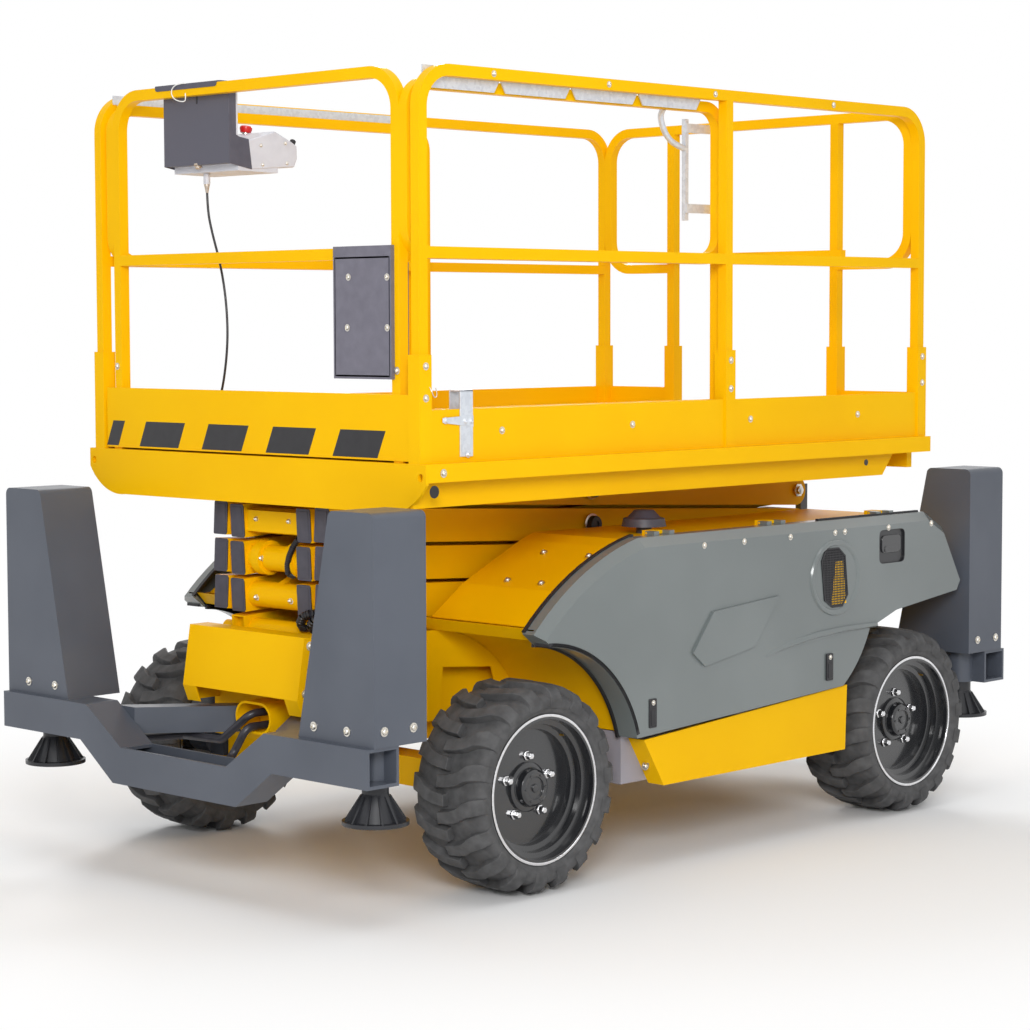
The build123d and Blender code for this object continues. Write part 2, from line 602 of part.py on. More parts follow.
with BuildPart() as tyre_form:
    # Slanted lugs whose corners reach the tyre's radius, then the carcass under them.
    for sign, shift in ((1, 0.5), (-1, 0.0)):
        root = Location((0, sign * LUG_Y, TYRE_RADIUS - TREAD_DEPTH), (0, 0, sign * LUG_SKEW))
        turns = [360 * (number + shift) / LUGS for number in range(LUGS)]
        with Locations(*[Location((0, 0, 0), (0, turn, 0)) * root for turn in turns]):
            Box(LUG_BREADTH, LUG_LENGTH, 2 * LUG_RISE)
    for flip in (1, -1):
        middle = Plane(origin=(0, 0, 0), x_dir=(1, 0, 0), z_dir=(0, flip, 0))
        with BuildSketch(middle):
            RegularPolygon(TYRE_RADIUS - TREAD_DEPTH, LUGS)
        extrude(amount=HALF_TYRE - SHOULDER)
        with BuildSketch(middle.offset(HALF_TYRE - SHOULDER)):
            RegularPolygon(TYRE_RADIUS - TREAD_DEPTH, LUGS)
        extrude(amount=SHOULDER - LUG_PROUD, taper=SHOULDER_SLOPE)
    with BuildSketch(wheel_end):
        RegularPolygon(TYRE_BEAD_RADIUS, 2 * LUGS, major_radius=False)
    extrude(amount=TYRE_WIDTH, mode=Mode.SUBTRACT)
with BuildPart() as rim_form:
    disc = RIM_DISC_Y - WHEEL_Y
    bead = TYRE_BEAD_RADIUS - SEAT_GAP
    seat = HALF_TYRE - 20
    hub_hole = HUB_RADIUS / 2 + RUN_FIT * 2
    with BuildSketch(wheel_plane):
        with BuildLine():
            # The stepped dish: barrel, two steps, disc, and back along the inside.
            Polyline(
                (-seat, bead),
                (seat, bead),
                (seat, bead - 16),
                (seat - 14, bead - 18),
                (seat - 30, bead - 18),
                (seat - 34, bead - 34),
                (seat - 58, bead - 36),
                (seat - 62, bead - 52),
                (disc + RIM_WALL, bead - 56),
                (disc + RIM_WALL, hub_hole),
                (disc, hub_hole),
                (disc, bead - 50),
                (disc - 10, bead - RIM_WALL),
                (-seat, bead - RIM_WALL),
                close=True,
            )
        make_face()
    revolve(axis=wheel_axis)
for name, axle_x, sign in WHEELS:
    with BuildPart() as tyre:
        with Locations((axle_x, sign * WHEEL_Y, TYRE_RADIUS)):
            add(tyre_form.part)
    finish(tyre, f"tyre_{name}", "black")
    with BuildPart() as rim:
        with Locations((axle_x, sign * WHEEL_Y, TYRE_RADIUS)):
            add(rim_form.part, rotation=(0, 0, 0 if sign > 0 else 180))
    finish(rim, f"rim_{name}", "black")

# ---------------------------------------------------------------- stabilisers
# Columns: direction, and where the two arms meet the frame across it.
BEAM_ARMS = ((1, 100), (-1, 225))
with BuildPart() as stabiliser_beams:
    for facing, arm_y in BEAM_ARMS:
        back = facing * (BEAM_FRONT - BEAM_DEPTH)
        low_x = min(back, facing * BEAM_FRONT)
        # Columns: inset from the skin, how far the section runs on, mode.
        for inset, extra, mode in ((0, 0, Mode.ADD), (BEAM_WALL, 5, Mode.SUBTRACT)):
            half = JACK_OUTER_Y - 4 + extra
            top = BEAM_TOP - inset
            low = BEAM_TOP - BEAM_HEIGHT + inset
            with BuildSketch(front_plane(low_x + inset)):
                with BuildLine():
                    Polyline(
                        (-half, top),
                        (-BEAM_SLOPE_HALF, top),
                        (-BEAM_FLAT_HALF, top - BEAM_DROP),
                        (BEAM_FLAT_HALF, top - BEAM_DROP),
                        (BEAM_SLOPE_HALF, top),
                        (half, top),
                        (half, low),
                        (BEAM_SLOPE_LOW, low),
                        (BEAM_FLAT_LOW, low - BEAM_DROP),
                        (-BEAM_FLAT_LOW, low - BEAM_DROP),
                        (-BEAM_SLOPE_LOW, low),
                        (-half, low),
                        close=True,
                    )
                make_face()
            extrude(amount=BEAM_DEPTH - 2 * inset, mode=mode)
        # The low middle part is open on top.
        slot = (low_x + BEAM_WALL, low_x + BEAM_DEPTH - BEAM_WALL)
        dip = BEAM_TOP - BEAM_DROP
        block(slot, (-BEAM_FLAT_HALF + 12, BEAM_FLAT_HALF - 12), (dip - 2 * BEAM_WALL, dip + 1), Mode.SUBTRACT)
        for name, sign in SIDES:
            # A guide tube in the beam takes the jack leg.
            guide = (BEAM_TOP - BEAM_HEIGHT, BEAM_TOP)
            post(facing * JACK_X, sign * LEG_Y, guide, LEG_RADIUS + LEG_GUIDE)
            post(facing * JACK_X, sign * LEG_Y, guide, LEG_RADIUS + RUN_FIT, mode=Mode.SUBTRACT)
            # Two arms run from the beam back to the frame.
            arm_x = (FRAME_FRONT_X if facing > 0 else FRAME_REAR_X, back)
            with BuildSketch(Plane.XY.offset(BEAM_TOP - 100)):
                with BuildLine():
                    Polyline(
                        (arm_x[0], sign * arm_y),
                        (arm_x[1], sign * 350),
                        (arm_x[1], sign * 440),
                        (arm_x[0], sign * (arm_y + 90)),
                        close=True,
                    )
                make_face()
            extrude(amount=85)
finish(stabiliser_beams, "stabiliser_beams", GREY)

# Hydraulic hoses run from the sleeve to the back of the front beam.
HOSE_RADIUS = 13.0
HOSE_BEND = 34.0
HOSES = (
    ((1200, 0, 525), (1300, 0, 525), (1330, -110, 432), (1330, -300, 426), (1430, -430, 414), (1494, -430, 414)),
    ((1200, 10, 484), (1325, 10, 484), (1350, -30, 395), (1420, 0, 365), (1494, 0, 365)),
)
with BuildPart() as front_hoses:
    for points in HOSES:
        with BuildLine() as hose_line:
            FilletPolyline(*points, radius=HOSE_BEND)
        with BuildSketch(Plane(origin=points[0], z_dir=(1, 0, 0))):
            Circle(HOSE_RADIUS)
        sweep(path=hose_line.line)
finish(front_hoses, "front_hoses", "black")

with BuildPart() as jack_housings:
    for end, facing in ENDS:
        for name, sign in SIDES:
            inner_x = facing * (JACK_X - JACK_DEPTH / 2)
            outer_x = facing * (JACK_X + JACK_DEPTH / 2)
            low_x = min(inner_x, outer_x)
            # Columns: inset from the skin, height range added at the bottom.
            for inset, extra, mode in ((0, 0, Mode.ADD), (JACK_WALL, 5, Mode.SUBTRACT)):
                with BuildSketch(front_plane(low_x + inset)):
                    with BuildLine():
                        Polyline(
                            (sign * (JACK_OUTER_Y - inset), JACK_BOTTOM - extra),
                            (sign * (JACK_OUTER_Y - inset), JACK_TOP - inset),
                            (sign * (JACK_OUTER_Y - JACK_TOP_WIDTH + inset), JACK_TOP - inset),
                            (sign * (JACK_OUTER_Y - JACK_BOTTOM_WIDTH + inset), JACK_BOTTOM - extra),
                            close=True,
                        )
                    make_face()
                    fillet(vertices().group_by(Axis.Y)[-1], JACK_BEND - inset)
                extrude(amount=JACK_DEPTH - 2 * inset, mode=mode)
finish(jack_housings, "jack_housings", GREY)

for end, facing in ENDS:
    for name, sign in SIDES:
        with BuildPart() as jack_leg:
            leg_x = facing * JACK_X
            leg_y = sign * LEG_Y
            post(leg_x, leg_y, (FOOT_Z + FOOT_HEIGHT - 10, JACK_TOP - 60), LEG_RADIUS)
            with Locations((leg_x, leg_y, FOOT_Z + 12 + (FOOT_HEIGHT - 12) / 2)):
                Cone(FOOT_RADIUS * 0.75, LEG_RADIUS, FOOT_HEIGHT - 12)
            post(leg_x, leg_y, (FOOT_Z, FOOT_Z + 12), FOOT_RADIUS)
            # Tapered ribs stand round the foot's cone.
            for turn in range(0, 180, FOOT_RIB_TURN):
                along = (cos(radians(turn)), sin(radians(turn)), 0)
                across = (sin(radians(turn)), -cos(radians(turn)), 0)
                with BuildSketch(Plane(origin=(leg_x, leg_y, 0), x_dir=along, z_dir=across)):
                    with BuildLine():
                        Polyline(
                            (-FOOT_RADIUS + 6, FOOT_Z + 12),
                            (FOOT_RADIUS - 6, FOOT_Z + 12),
                            (LEG_RADIUS + 6, FOOT_Z + FOOT_HEIGHT - 6),
                            (-LEG_RADIUS - 6, FOOT_Z + FOOT_HEIGHT - 6),
                            close=True,
                        )
                    make_face()
                extrude(amount=3, both=True)
        finish(jack_leg, f"jack_leg_{end}_{name}", "black")

# ---------------------------------------------------------------- rear ladder
with BuildPart() as rear_ladder:
    ladder_x = (FRAME_REAR_X - 60, FRAME_REAR_X - 20)
    for name, sign in SIDES:
        block(ladder_x, span(sign, 190, 215), (FRAME_BOTTOM - 60, 1150))
        block((FRAME_REAR_X - 20, FRAME_REAR_X), span(sign, 190, 215), (500, 660))
    for rung_z in (400.0, 640.0, 880.0, 1120.0):
        block(ladder_x, (-190, 190), (rung_z, rung_z + 25))
finish(rear_ladder, "rear_ladder", GREY)


# ---------------------------------------------------------------- scissor arms
def arm_profile(x0, z0, x1, z1):
    """An arm's side view between two pins: round at the low rear, square in front."""
    angle = degrees(atan2(z1 - z0, x1 - x0))
    length = hypot(x1 - x0, z1 - z0)
    with Locations(Location((x0, z0, 0), (0, 0, angle))):
        with Locations((0, 0)):
            Circle(ARM_HEIGHT / 2)
        with Locations(((length + ARM_END) / 2, 0)):
            Rectangle(length + ARM_END, ARM_HEIGHT)


for level in range(1, LEVELS + 1):
    low_z = pin_z(level)
    high_z = pin_z(level + 1)
    mid_x = (SCISSOR_REAR_X + SCISSOR_FRONT_X) / 2
    mid_z = (low_z + high_z) / 2
    with BuildPart() as outer_arm:
        for name, sign in SIDES:
            wide = span(sign, OUTER_IN_Y, OUTER_OUT_Y)
            with BuildSketch(side_plane(wide[1])):
                arm_profile(SCISSOR_REAR_X, low_z, SCISSOR_FRONT_X, high_z)
                # Columns: bore position.
                for bore in ((SCISSOR_REAR_X, low_z), (mid_x, mid_z), (SCISSOR_FRONT_X, high_z)):
                    if level == LEVELS and bore[1] == high_z:
                        continue
                    with Locations(bore):
                        Circle(PIN_RADIUS + RUN_FIT, mode=Mode.SUBTRACT)
            extrude(amount=ARM_WIDTH)
            if level == LEVELS:
                stub = span(sign, OUTER_OUT_Y, OUTER_OUT_Y + CLEAR)
                roller = span(sign, OUTER_OUT_Y + CLEAR, OUTER_OUT_Y + CLEAR + 30)
                shaft(SCISSOR_FRONT_X, high_z, stub, PIN_RADIUS)
                shaft(SCISSOR_FRONT_X, high_z, roller, ROLLER_RADIUS)
    finish(outer_arm, f"outer_arm_{level}", YELLOW)

    with BuildPart() as inner_arm:
        for name, sign in SIDES:
            wide = span(sign, INNER_IN_Y, INNER_OUT_Y)
            with BuildSketch(side_plane(wide[1])):
                with Locations((SCISSOR_REAR_X, high_z)):
                    Circle(ARM_HEIGHT / 2)
                half = (ARM_LENGTH + ARM_END) / 2
                centre = (
                    SCISSOR_REAR_X + half * cos(STOW),
                    high_z - half * sin(STOW),
                )
                with Locations(Location((centre[0], centre[1], 0), (0, 0, -STOW_ANGLE))):
                    Rectangle(2 * half, ARM_HEIGHT)
            extrude(amount=ARM_WIDTH)
            if level == 1:
                # The lowest pair of tubes is left open in front.
                mouth = (SCISSOR_FRONT_X + ROLLER_RADIUS + 5, SCISSOR_FRONT_X + ARM_END + 10)
                block(mouth, span(sign, INNER_IN_Y + 7, INNER_OUT_Y - 7), (low_z - 47, low_z + 47), Mode.SUBTRACT)
            pins = [(mid_x, mid_z)]
            if level > 1:
                pins.append((SCISSOR_FRONT_X, low_z))
            pins.append((SCISSOR_REAR_X, high_z))
            for pin_x, pin_height in pins:
                at_deck = level == LEVELS and pin_height == high_z
                pin_end = LUG_OUT_Y if at_deck else PIN_END_Y
                shaft(pin_x, pin_height, span(sign, INNER_OUT_Y, OUTER_IN_Y - SEAT_GAP), COLLAR_RADIUS)
                shaft(pin_x, pin_height, span(sign, INNER_OUT_Y, pin_end), PIN_RADIUS)
            if level == 1:
                shaft(SCISSOR_FRONT_X, low_z, span(sign, INNER_OUT_Y, OUTER_IN_Y), PIN_RADIUS)
                shaft(SCISSOR_FRONT_X, low_z, span(sign, OUTER_IN_Y, OUTER_OUT_Y), ROLLER_RADIUS)
        for tube_x, tube_z in ((SCISSOR_FRONT_X, low_z), (SCISSOR_REAR_X, high_z)):
            shaft(tube_x, tube_z, (-INNER_IN_Y, INNER_IN_Y), CROSS_TUBE_RADIUS)
        if level == LEVELS:
            # The top pair has a flat cross member in front.
            flat_x = (SCISSOR_FRONT_X - CROSS_TUBE_RADIUS, SCISSOR_FRONT_X + CROSS_TUBE_RADIUS)
            flat_z = (low_z - CROSS_TUBE_RADIUS + 8, low_z + CROSS_TUBE_RADIUS - 8)
            block(flat_x, (-INNER_IN_Y, INNER_IN_Y), flat_z)
        if level == LEVELS - 1:
            for boss_y in BOSSES_Y:
                shaft(SCISSOR_FRONT_X, low_z, boss_y, BOSS_RADIUS)
        if level == 2:
            # The lug on the front cross tube takes the cylinder's rod.
            with BuildSketch(side_plane(LUG_THICK / 2)):
                with Locations((LUG_X, LUG_Z)):
                    Circle(LUG_RADIUS)
                with Locations((SCISSOR_FRONT_X, low_z)):
                    Circle(CROSS_TUBE_RADIUS)
                make_hull()
            extrude(amount=LUG_THICK)
    finish(inner_arm, f"inner_arm_{level}", YELLOW)

# ---------------------------------------------------------------- lift cylinder
def cylinder_plane(reach):
    """A plane across the cylinder's axis, a given distance from its foot pin."""
    turn = radians(CYLINDER_ANGLE)
    origin = (FOOT_X + reach * cos(turn), 0, FOOT_PIN_Z + reach * sin(turn))
    return Plane(origin=origin, x_dir=(0, 1, 0), z_dir=(cos(turn), 0, sin(turn)))


BARREL_END = CYLINDER_LENGTH - FORK_DEPTH - 60
ROD_START = BARREL_END - 760
with BuildPart() as lift_barrel:
    with BuildSketch(cylinder_plane(0)):
        Circle(BARREL_RADIUS)
    extrude(amount=BARREL_END)
    shaft(FOOT_X, FOOT_PIN_Z, (-BARREL_RADIUS, BARREL_RADIUS), BARREL_RADIUS)
    shaft(FOOT_X, FOOT_PIN_Z, (-BARREL_RADIUS, BARREL_RADIUS), PIN_RADIUS + RUN_FIT, mode=Mode.SUBTRACT)
    with BuildSketch(cylinder_plane(ROD_START - 20)):
        Circle(ROD_RADIUS + RUN_FIT)
    extrude(amount=BARREL_END - ROD_START + 25, mode=Mode.SUBTRACT)
finish(lift_barrel, "lift_barrel", YELLOW)

FORK_OUT_Y = LUG_THICK / 2 + 1 + FORK_THICK
with BuildPart() as lift_rod:
    with BuildSketch(cylinder_plane(ROD_START)):
        Circle(ROD_RADIUS)
    extrude(amount=CYLINDER_LENGTH - FORK_DEPTH - ROD_START)
    with BuildSketch(cylinder_plane(CYLINDER_LENGTH - FORK_DEPTH - 20)):
        Rectangle(2 * FORK_OUT_Y, 2 * LUG_RADIUS)
    extrude(amount=30)
    for name, sign in SIDES:
        tine = span(sign, LUG_THICK / 2 + 1, FORK_OUT_Y)
        with BuildSketch(side_plane(tine[1])):
            with Locations((LUG_X, LUG_Z)):
                Circle(LUG_RADIUS)
            root = (CYLINDER_LENGTH - FORK_DEPTH / 2, radians(CYLINDER_ANGLE))
            centre = (FOOT_X + root[0] * cos(root[1]), FOOT_PIN_Z + root[0] * sin(root[1]))
            with Locations(Location((centre[0], centre[1], 0), (0, 0, CYLINDER_ANGLE))):
                Rectangle(FORK_DEPTH, 2 * LUG_RADIUS)
        extrude(amount=FORK_THICK)
finish(lift_rod, "lift_rod", "silver")

# ---------------------------------------------------------------- platform
SIDE_POSTS_X = (DECK_FRONT - 10 - RAIL_TUBE / 2, -137.5, DECK_REAR + RAIL_TUBE / 2)
RAIL_Y = RAIL_OUTER_Y - RAIL_TUBE / 2
REAR_RAIL_X = DECK_REAR + RAIL_TUBE / 2
SOCKET = RAIL_TUBE + 2 * SEAT_GAP


def socket(x, y):
    """Add a post socket on the deck: a square sleeve with the post's hole."""
    sleeve = SOCKET / 2 + SOCKET_WALL
    block((x - sleeve, x + sleeve), (y - sleeve, y + sleeve), (DECK_TOP, SOCKET_TOP))
    hole = SOCKET / 2
    block((x - hole, x + hole), (y - hole, y + hole), (TOE_TOP, SOCKET_TOP), mode=Mode.SUBTRACT)


with BuildPart() as deck_frame:
    half = DECK_WIDTH / 2
    floor_z = (DECK_TOP - DECK_PLATE, DECK_TOP)
    block((DECK_REAR, DECK_FRONT - BUMPER_THICK), (-half, half), floor_z)
    for name, sign in SIDES:
        beam = span(sign, half - 30, half)
        block((DECK_REAR, DECK_FRONT - BUMPER_THICK), beam, (DECK_TOP - SIDE_BEAM_HEIGHT, floor_z[0]))
        plate = span(sign, 740, 752)
        with BuildSketch(side_plane(plate[1])):
            with BuildLine():
                Polyline(
                    (DECK_FRONT - BUMPER_THICK, floor_z[0]),
                    (DECK_FRONT - BUMPER_THICK, UNDERFRAME_BOTTOM),
                    (DECK_REAR + 200, UNDERFRAME_BOTTOM),
                    (DECK_REAR + 100, floor_z[0]),
                    close=True,
                )
            make_face()
        extrude(amount=12)
        # The inner beams are the upper track of the top rollers.
        track = span(sign, LUG_IN_Y, LUG_IN_Y + 40)
        block((SCISSOR_REAR_X - 70, SCISSOR_FRONT_X + 60), track, (DECK_TRACK_Z + SEAT_GAP, floor_z[0]))
        lug = span(sign, LUG_IN_Y, LUG_OUT_Y)
        block((SCISSOR_REAR_X - 50, SCISSOR_REAR_X + 50), lug, (DECK_PIN_Z - 45, floor_z[0]))
        bore = span(sign, LUG_IN_Y - 1, LUG_OUT_Y + 1)
        shaft(SCISSOR_REAR_X, DECK_PIN_Z, bore, PIN_RADIUS + RUN_FIT, mode=Mode.SUBTRACT)
        toe = span(sign, RAIL_OUTER_Y - TOE_THICK, RAIL_OUTER_Y)
        block((DECK_REAR, DECK_FRONT - BUMPER_THICK), toe, (DECK_TOP, TOE_TOP))
        rear_toe = span(sign, GATE_HALF, RAIL_OUTER_Y)
        block((DECK_REAR, DECK_REAR + TOE_THICK), rear_toe, (DECK_TOP, TOE_TOP))
        for post_x in SIDE_POSTS_X:
            socket(post_x, sign * RAIL_Y)
        socket(REAR_RAIL_X, sign * GATE_HALF)
    # Cross members stay clear of the arms.
    for member_x in (DECK_REAR + 5, SCISSOR_FRONT_X + 90):
        block((member_x, member_x + 30), (-740, 740), (UNDERFRAME_BOTTOM + 20, floor_z[0]))
finish(deck_frame, "deck_frame", YELLOW)

with BuildPart() as deck_bumper:
    half = DECK_WIDTH / 2
    with BuildSketch(front_plane(DECK_FRONT - BUMPER_THICK)):
        with BuildLine():
            Polyline((-half, DECK_TOP), (half, DECK_TOP), (half, DECK_TOP - 60))
            ThreePointArc((half, DECK_TOP - 60), (half - 60, BUMPER_BOTTOM + 30), (half - 190, BUMPER_BOTTOM))
            Line((half - 190, BUMPER_BOTTOM), (-half + 190, BUMPER_BOTTOM))
            ThreePointArc((-half + 190, BUMPER_BOTTOM), (-half + 60, BUMPER_BOTTOM + 30), (-half, DECK_TOP - 60))
            Line((-half, DECK_TOP - 60), (-half, DECK_TOP))
        make_face()
    extrude(amount=BUMPER_THICK)
    # Tie-down holes in the bumper's ears.
    for name, sign in SIDES:
        ear = (DECK_FRONT - BUMPER_THICK, DECK_FRONT)
        rod_x(ear, sign * TIE_Y, TIE_Z, TIE_RADIUS, mode=Mode.SUBTRACT)
finish(deck_bumper, "deck_bumper", YELLOW)

with BuildPart() as side_guardrails:
    front_x = DECK_FRONT - 10
    rail_x = ((front_x + DECK_REAR) / 2, front_x - DECK_REAR)
    for name, sign in SIDES:
        wide = span(sign, RAIL_INNER_Y, RAIL_OUTER_Y)
        with BuildSketch(side_plane(wide[1])) as side_view:
            for grow, mode in ((0, Mode.ADD), (RAIL_TUBE, Mode.SUBTRACT)):
                with BuildSketch(side_plane(wide[1]), mode=mode):
                    low = TOE_TOP - (1 if grow else 0)
                    with Locations((rail_x[0], (RAIL_TOP - grow + low) / 2)):
                        Rectangle(rail_x[1] - 2 * grow, RAIL_TOP - grow - low)
                    fillet(vertices().group_by(Axis.Y)[-1], RAIL_BEND - grow)
            with Locations((rail_x[0], MID_RAIL_TOP - RAIL_TUBE / 2)):
                Rectangle(rail_x[1] - RAIL_TUBE, RAIL_TUBE)
            with Locations((SIDE_POSTS_X[1], (RAIL_TOP - RAIL_TUBE / 2 + TOE_TOP) / 2)):
                Rectangle(RAIL_TUBE, RAIL_TOP - RAIL_TUBE / 2 - TOE_TOP)
        extrude(amount=RAIL_TUBE)
finish(side_guardrails, "side_guardrails", YELLOW)

with BuildPart() as rear_guardrail:
    half = RAIL_INNER_Y - SEAT_GAP
    low = MID_RAIL_TOP - RAIL_TUBE
    with BuildSketch(front_plane(DECK_REAR)):
        with Locations((0, (RAIL_TOP + low) / 2)):
            RectangleRounded(2 * half, RAIL_TOP - low, RAIL_BEND)
            RectangleRounded(
                2 * (half - RAIL_TUBE), RAIL_TOP - low - 2 * RAIL_TUBE, RAIL_BEND - RAIL_TUBE, mode=Mode.SUBTRACT
            )
        with Locations((0, low + RAIL_TUBE / 2)):
            Rectangle(2 * GATE_HALF, RAIL_TUBE + 2, mode=Mode.SUBTRACT)
        for name, sign in SIDES:
            with Locations((sign * GATE_HALF, (RAIL_TOP - RAIL_TUBE / 2 + TOE_TOP) / 2)):
                Rectangle(RAIL_TUBE, RAIL_TOP - RAIL_TUBE / 2 - TOE_TOP)
    extrude(amount=RAIL_TUBE)
finish(rear_guardrail, "rear_guardrail", YELLOW)

# The entry bar lifts along the two gate posts.
GATE_Z = MID_RAIL_TOP + CLEAR
with BuildPart() as gate_bar:
    bar_x = DECK_REAR + RAIL_TUBE + CLEAR
    block((bar_x, bar_x + 30), (-GATE_HALF - 60, GATE_HALF + 60), (GATE_Z, GATE_Z + 32))
    for name, sign in SIDES:
        with BuildSketch(Plane.XY.offset(GATE_Z)):
            with Locations((REAR_RAIL_X, sign * GATE_HALF)):
                Rectangle(RAIL_TUBE + 2 * CLEAR, RAIL_TUBE + 2 * CLEAR)
                Rectangle(SOCKET, SOCKET, mode=Mode.SUBTRACT)
        extrude(amount=32)
finish(gate_bar, "gate_bar", YELLOW)

# Galvanised guide strips inside both top rails, in scalloped lengths.
GUIDE_TOP = RAIL_TOP - 4
GUIDE_DROP = 66.0
GUIDE_LENGTH = 312.0
with BuildPart() as rail_guides:
    for name, sign in SIDES:
        strip = span(sign, RAIL_INNER_Y - 5, RAIL_INNER_Y - SEAT_GAP)
        with BuildSketch(side_plane(strip[1])):
            with Locations((575, GUIDE_TOP - 15)):
                Rectangle(1340, 30)
            for number in range(4):
                left = -30 + number * (GUIDE_LENGTH + 4)
                with BuildLine():
                    Polyline(
                        (left, GUIDE_TOP - 28),
                        (left + GUIDE_LENGTH, GUIDE_TOP - 28),
                        (left + GUIDE_LENGTH - 24, GUIDE_TOP - GUIDE_DROP),
                        (left + 24, GUIDE_TOP - GUIDE_DROP),
                        close=True,
                    )
                make_face()
        extrude(amount=strip[1] - strip[0])
finish(rail_guides, "rail_guides", "lightgray")

# ---------------------------------------------------------------- extension
with BuildPart() as extension_deck:
    half = EXT_HALF_WIDTH
    block((EXT_REAR, EXT_FRONT), (-half, half), (EXT_FLOOR, EXT_FLOOR + EXT_PLATE))
    block((EXT_FRONT - TOE_THICK, EXT_FRONT), (-half, half), (EXT_FLOOR, EXT_TOE_TOP))
    for name, sign in SIDES:
        toe = span(sign, half - TOE_THICK, half)
        block((EXT_REAR, EXT_FRONT), toe, (EXT_FLOOR, TOE_TOP))
        # Low runners slide on the deck.
        block((EXT_REAR, EXT_FRONT - TOE_THICK), span(sign, half - 70, half - 30), (DECK_TOP, EXT_FLOOR))
finish(extension_deck, "extension_deck", YELLOW)

EXT_BASE = EXT_FLOOR + EXT_PLATE
EXT_RAIL_OUTER_Y = EXT_HALF_WIDTH - TOE_THICK
EXT_RAIL_INNER_Y = EXT_RAIL_OUTER_Y - RAIL_TUBE
EXT_POST_X = EXT_FRONT - TOE_THICK - RAIL_TUBE
EXT_REAR_POST_X = -180.0
with BuildPart() as extension_rail:
    half = EXT_RAIL_INNER_Y
    with BuildSketch(front_plane(EXT_POST_X)):
        for grow, mode in ((0, Mode.ADD), (RAIL_TUBE, Mode.SUBTRACT)):
            with BuildSketch(front_plane(EXT_POST_X), mode=mode):
                low = EXT_BASE - (1 if grow else 0)
                with Locations((0, (RAIL_TOP - grow + low) / 2)):
                    Rectangle(2 * (half - grow), RAIL_TOP - grow - low)
                fillet(vertices().group_by(Axis.Y)[-1], RAIL_BEND - grow)
        with Locations((0, MID_RAIL_TOP - RAIL_TUBE / 2)):
            Rectangle(2 * half - RAIL_TUBE, RAIL_TUBE)
    extrude(amount=RAIL_TUBE)
    loop_x = (EXT_REAR_POST_X, EXT_POST_X + RAIL_TUBE)
    low = MID_RAIL_TOP - RAIL_TUBE
    for name, sign in SIDES:
        wide = span(sign, EXT_RAIL_INNER_Y, EXT_RAIL_OUTER_Y)
        with BuildSketch(side_plane(wide[1])):
            with Locations(((loop_x[0] + loop_x[1]) / 2, (EXT_RAIL_TOP + low) / 2)):
                RectangleRounded(loop_x[1] - loop_x[0], EXT_RAIL_TOP - low, RAIL_BEND - RAIL_TUBE)
                RectangleRounded(
                    loop_x[1] - loop_x[0] - 2 * RAIL_TUBE,
                    EXT_RAIL_TOP - low - 2 * RAIL_TUBE,
                    RAIL_BEND - 2 * RAIL_TUBE,
                    mode=Mode.SUBTRACT,
                )
            with Locations((loop_x[0] + RAIL_TUBE / 2, (EXT_BASE + EXT_RAIL_TOP - RAIL_BEND) / 2)):
                Rectangle(RAIL_TUBE, EXT_RAIL_TOP - RAIL_BEND - EXT_BASE)
        extrude(amount=RAIL_TUBE)
finish(extension_rail, "extension_rail", YELLOW)

with BuildPart() as lock_handle:
    grip = (EXT_RAIL_INNER_Y - 22, EXT_RAIL_INNER_Y - 6)
    block((-40, -24), grip, (2105, 2440))
    for level_z in (2130.0, 2395.0):
        block((-180, -24), (EXT_RAIL_INNER_Y - 6, EXT_RAIL_INNER_Y), (level_z, level_z + 30))
finish(lock_handle, "lock_handle", "lightgray")

BOX_Y = (-460.0, -135.0)
with BuildPart() as control_box:
    front = EXT_POST_X
    block((front, front + RAIL_TUBE), BOX_Y, (RAIL_TOP, RAIL_TOP + 5))
    block((front - 6, front), BOX_Y, (2280, RAIL_TOP + 5))
    block((front - 40, front - 6), BOX_Y, (2280, 2505))
    with BuildSketch(side_plane(BOX_Y[1])):
        with BuildLine():
            Polyline(
                (front - 40, 2258),
                (front - 40, 2360),
                (front - 125, 2382),
                (front - 205, 2330),
                (front - 208, 2255),
                close=True,
            )
        make_face()
    extrude(amount=BOX_Y[1] - BOX_Y[0])
    post(1185, -330, (2222, 2257), 11)
finish(control_box, "control_box", "gray")

with BuildPart() as document_box:
    block((EXT_POST_X + RAIL_TUBE, EXT_POST_X + RAIL_TUBE + 14), (415, 672), (1600, MID_RAIL_TOP + 5))
    block((EXT_POST_X - 40, EXT_POST_X), (415, 655), (1600, 1950))
    block((EXT_POST_X, EXT_POST_X + RAIL_TUBE), (425, 650), (1900, 1950))
finish(document_box, "document_box", DARK)

# The control cable hangs from the console's gland to the gland on the floor.
CABLE_RADIUS = 4.0
CABLE_POINTS = (
    (1185, -330, 2222),
    (1185, -330, 2140),
    (1183, -306, 2056),
    (1181, -276, 1976),
    (1180, -254, 1892),
    (1181, -240, 1806),
    (1183, -235, 1720),
    (1186, -242, 1634),
    (1189, -259, 1550),
    (1191, -290, 1476),
    (1191, -290, 1392),
)
with BuildPart() as cable_gland:
    post(1191, -290, (EXT_BASE, 1392), 14)
finish(cable_gland, "cable_gland", "black")
cable_radii = []
for before, corner, after in zip(CABLE_POINTS, CABLE_POINTS[1:], CABLE_POINTS[2:]):
    run_in = Vector(*corner) - Vector(*before)
    run_out = Vector(*after) - Vector(*corner)
    half_turn = radians(run_in.get_angle(run_out)) / 2
    cable_radii.append(0.45 * min(run_in.length, run_out.length) / tan(half_turn))
print("cable radii", [round(radius) for radius in cable_radii])
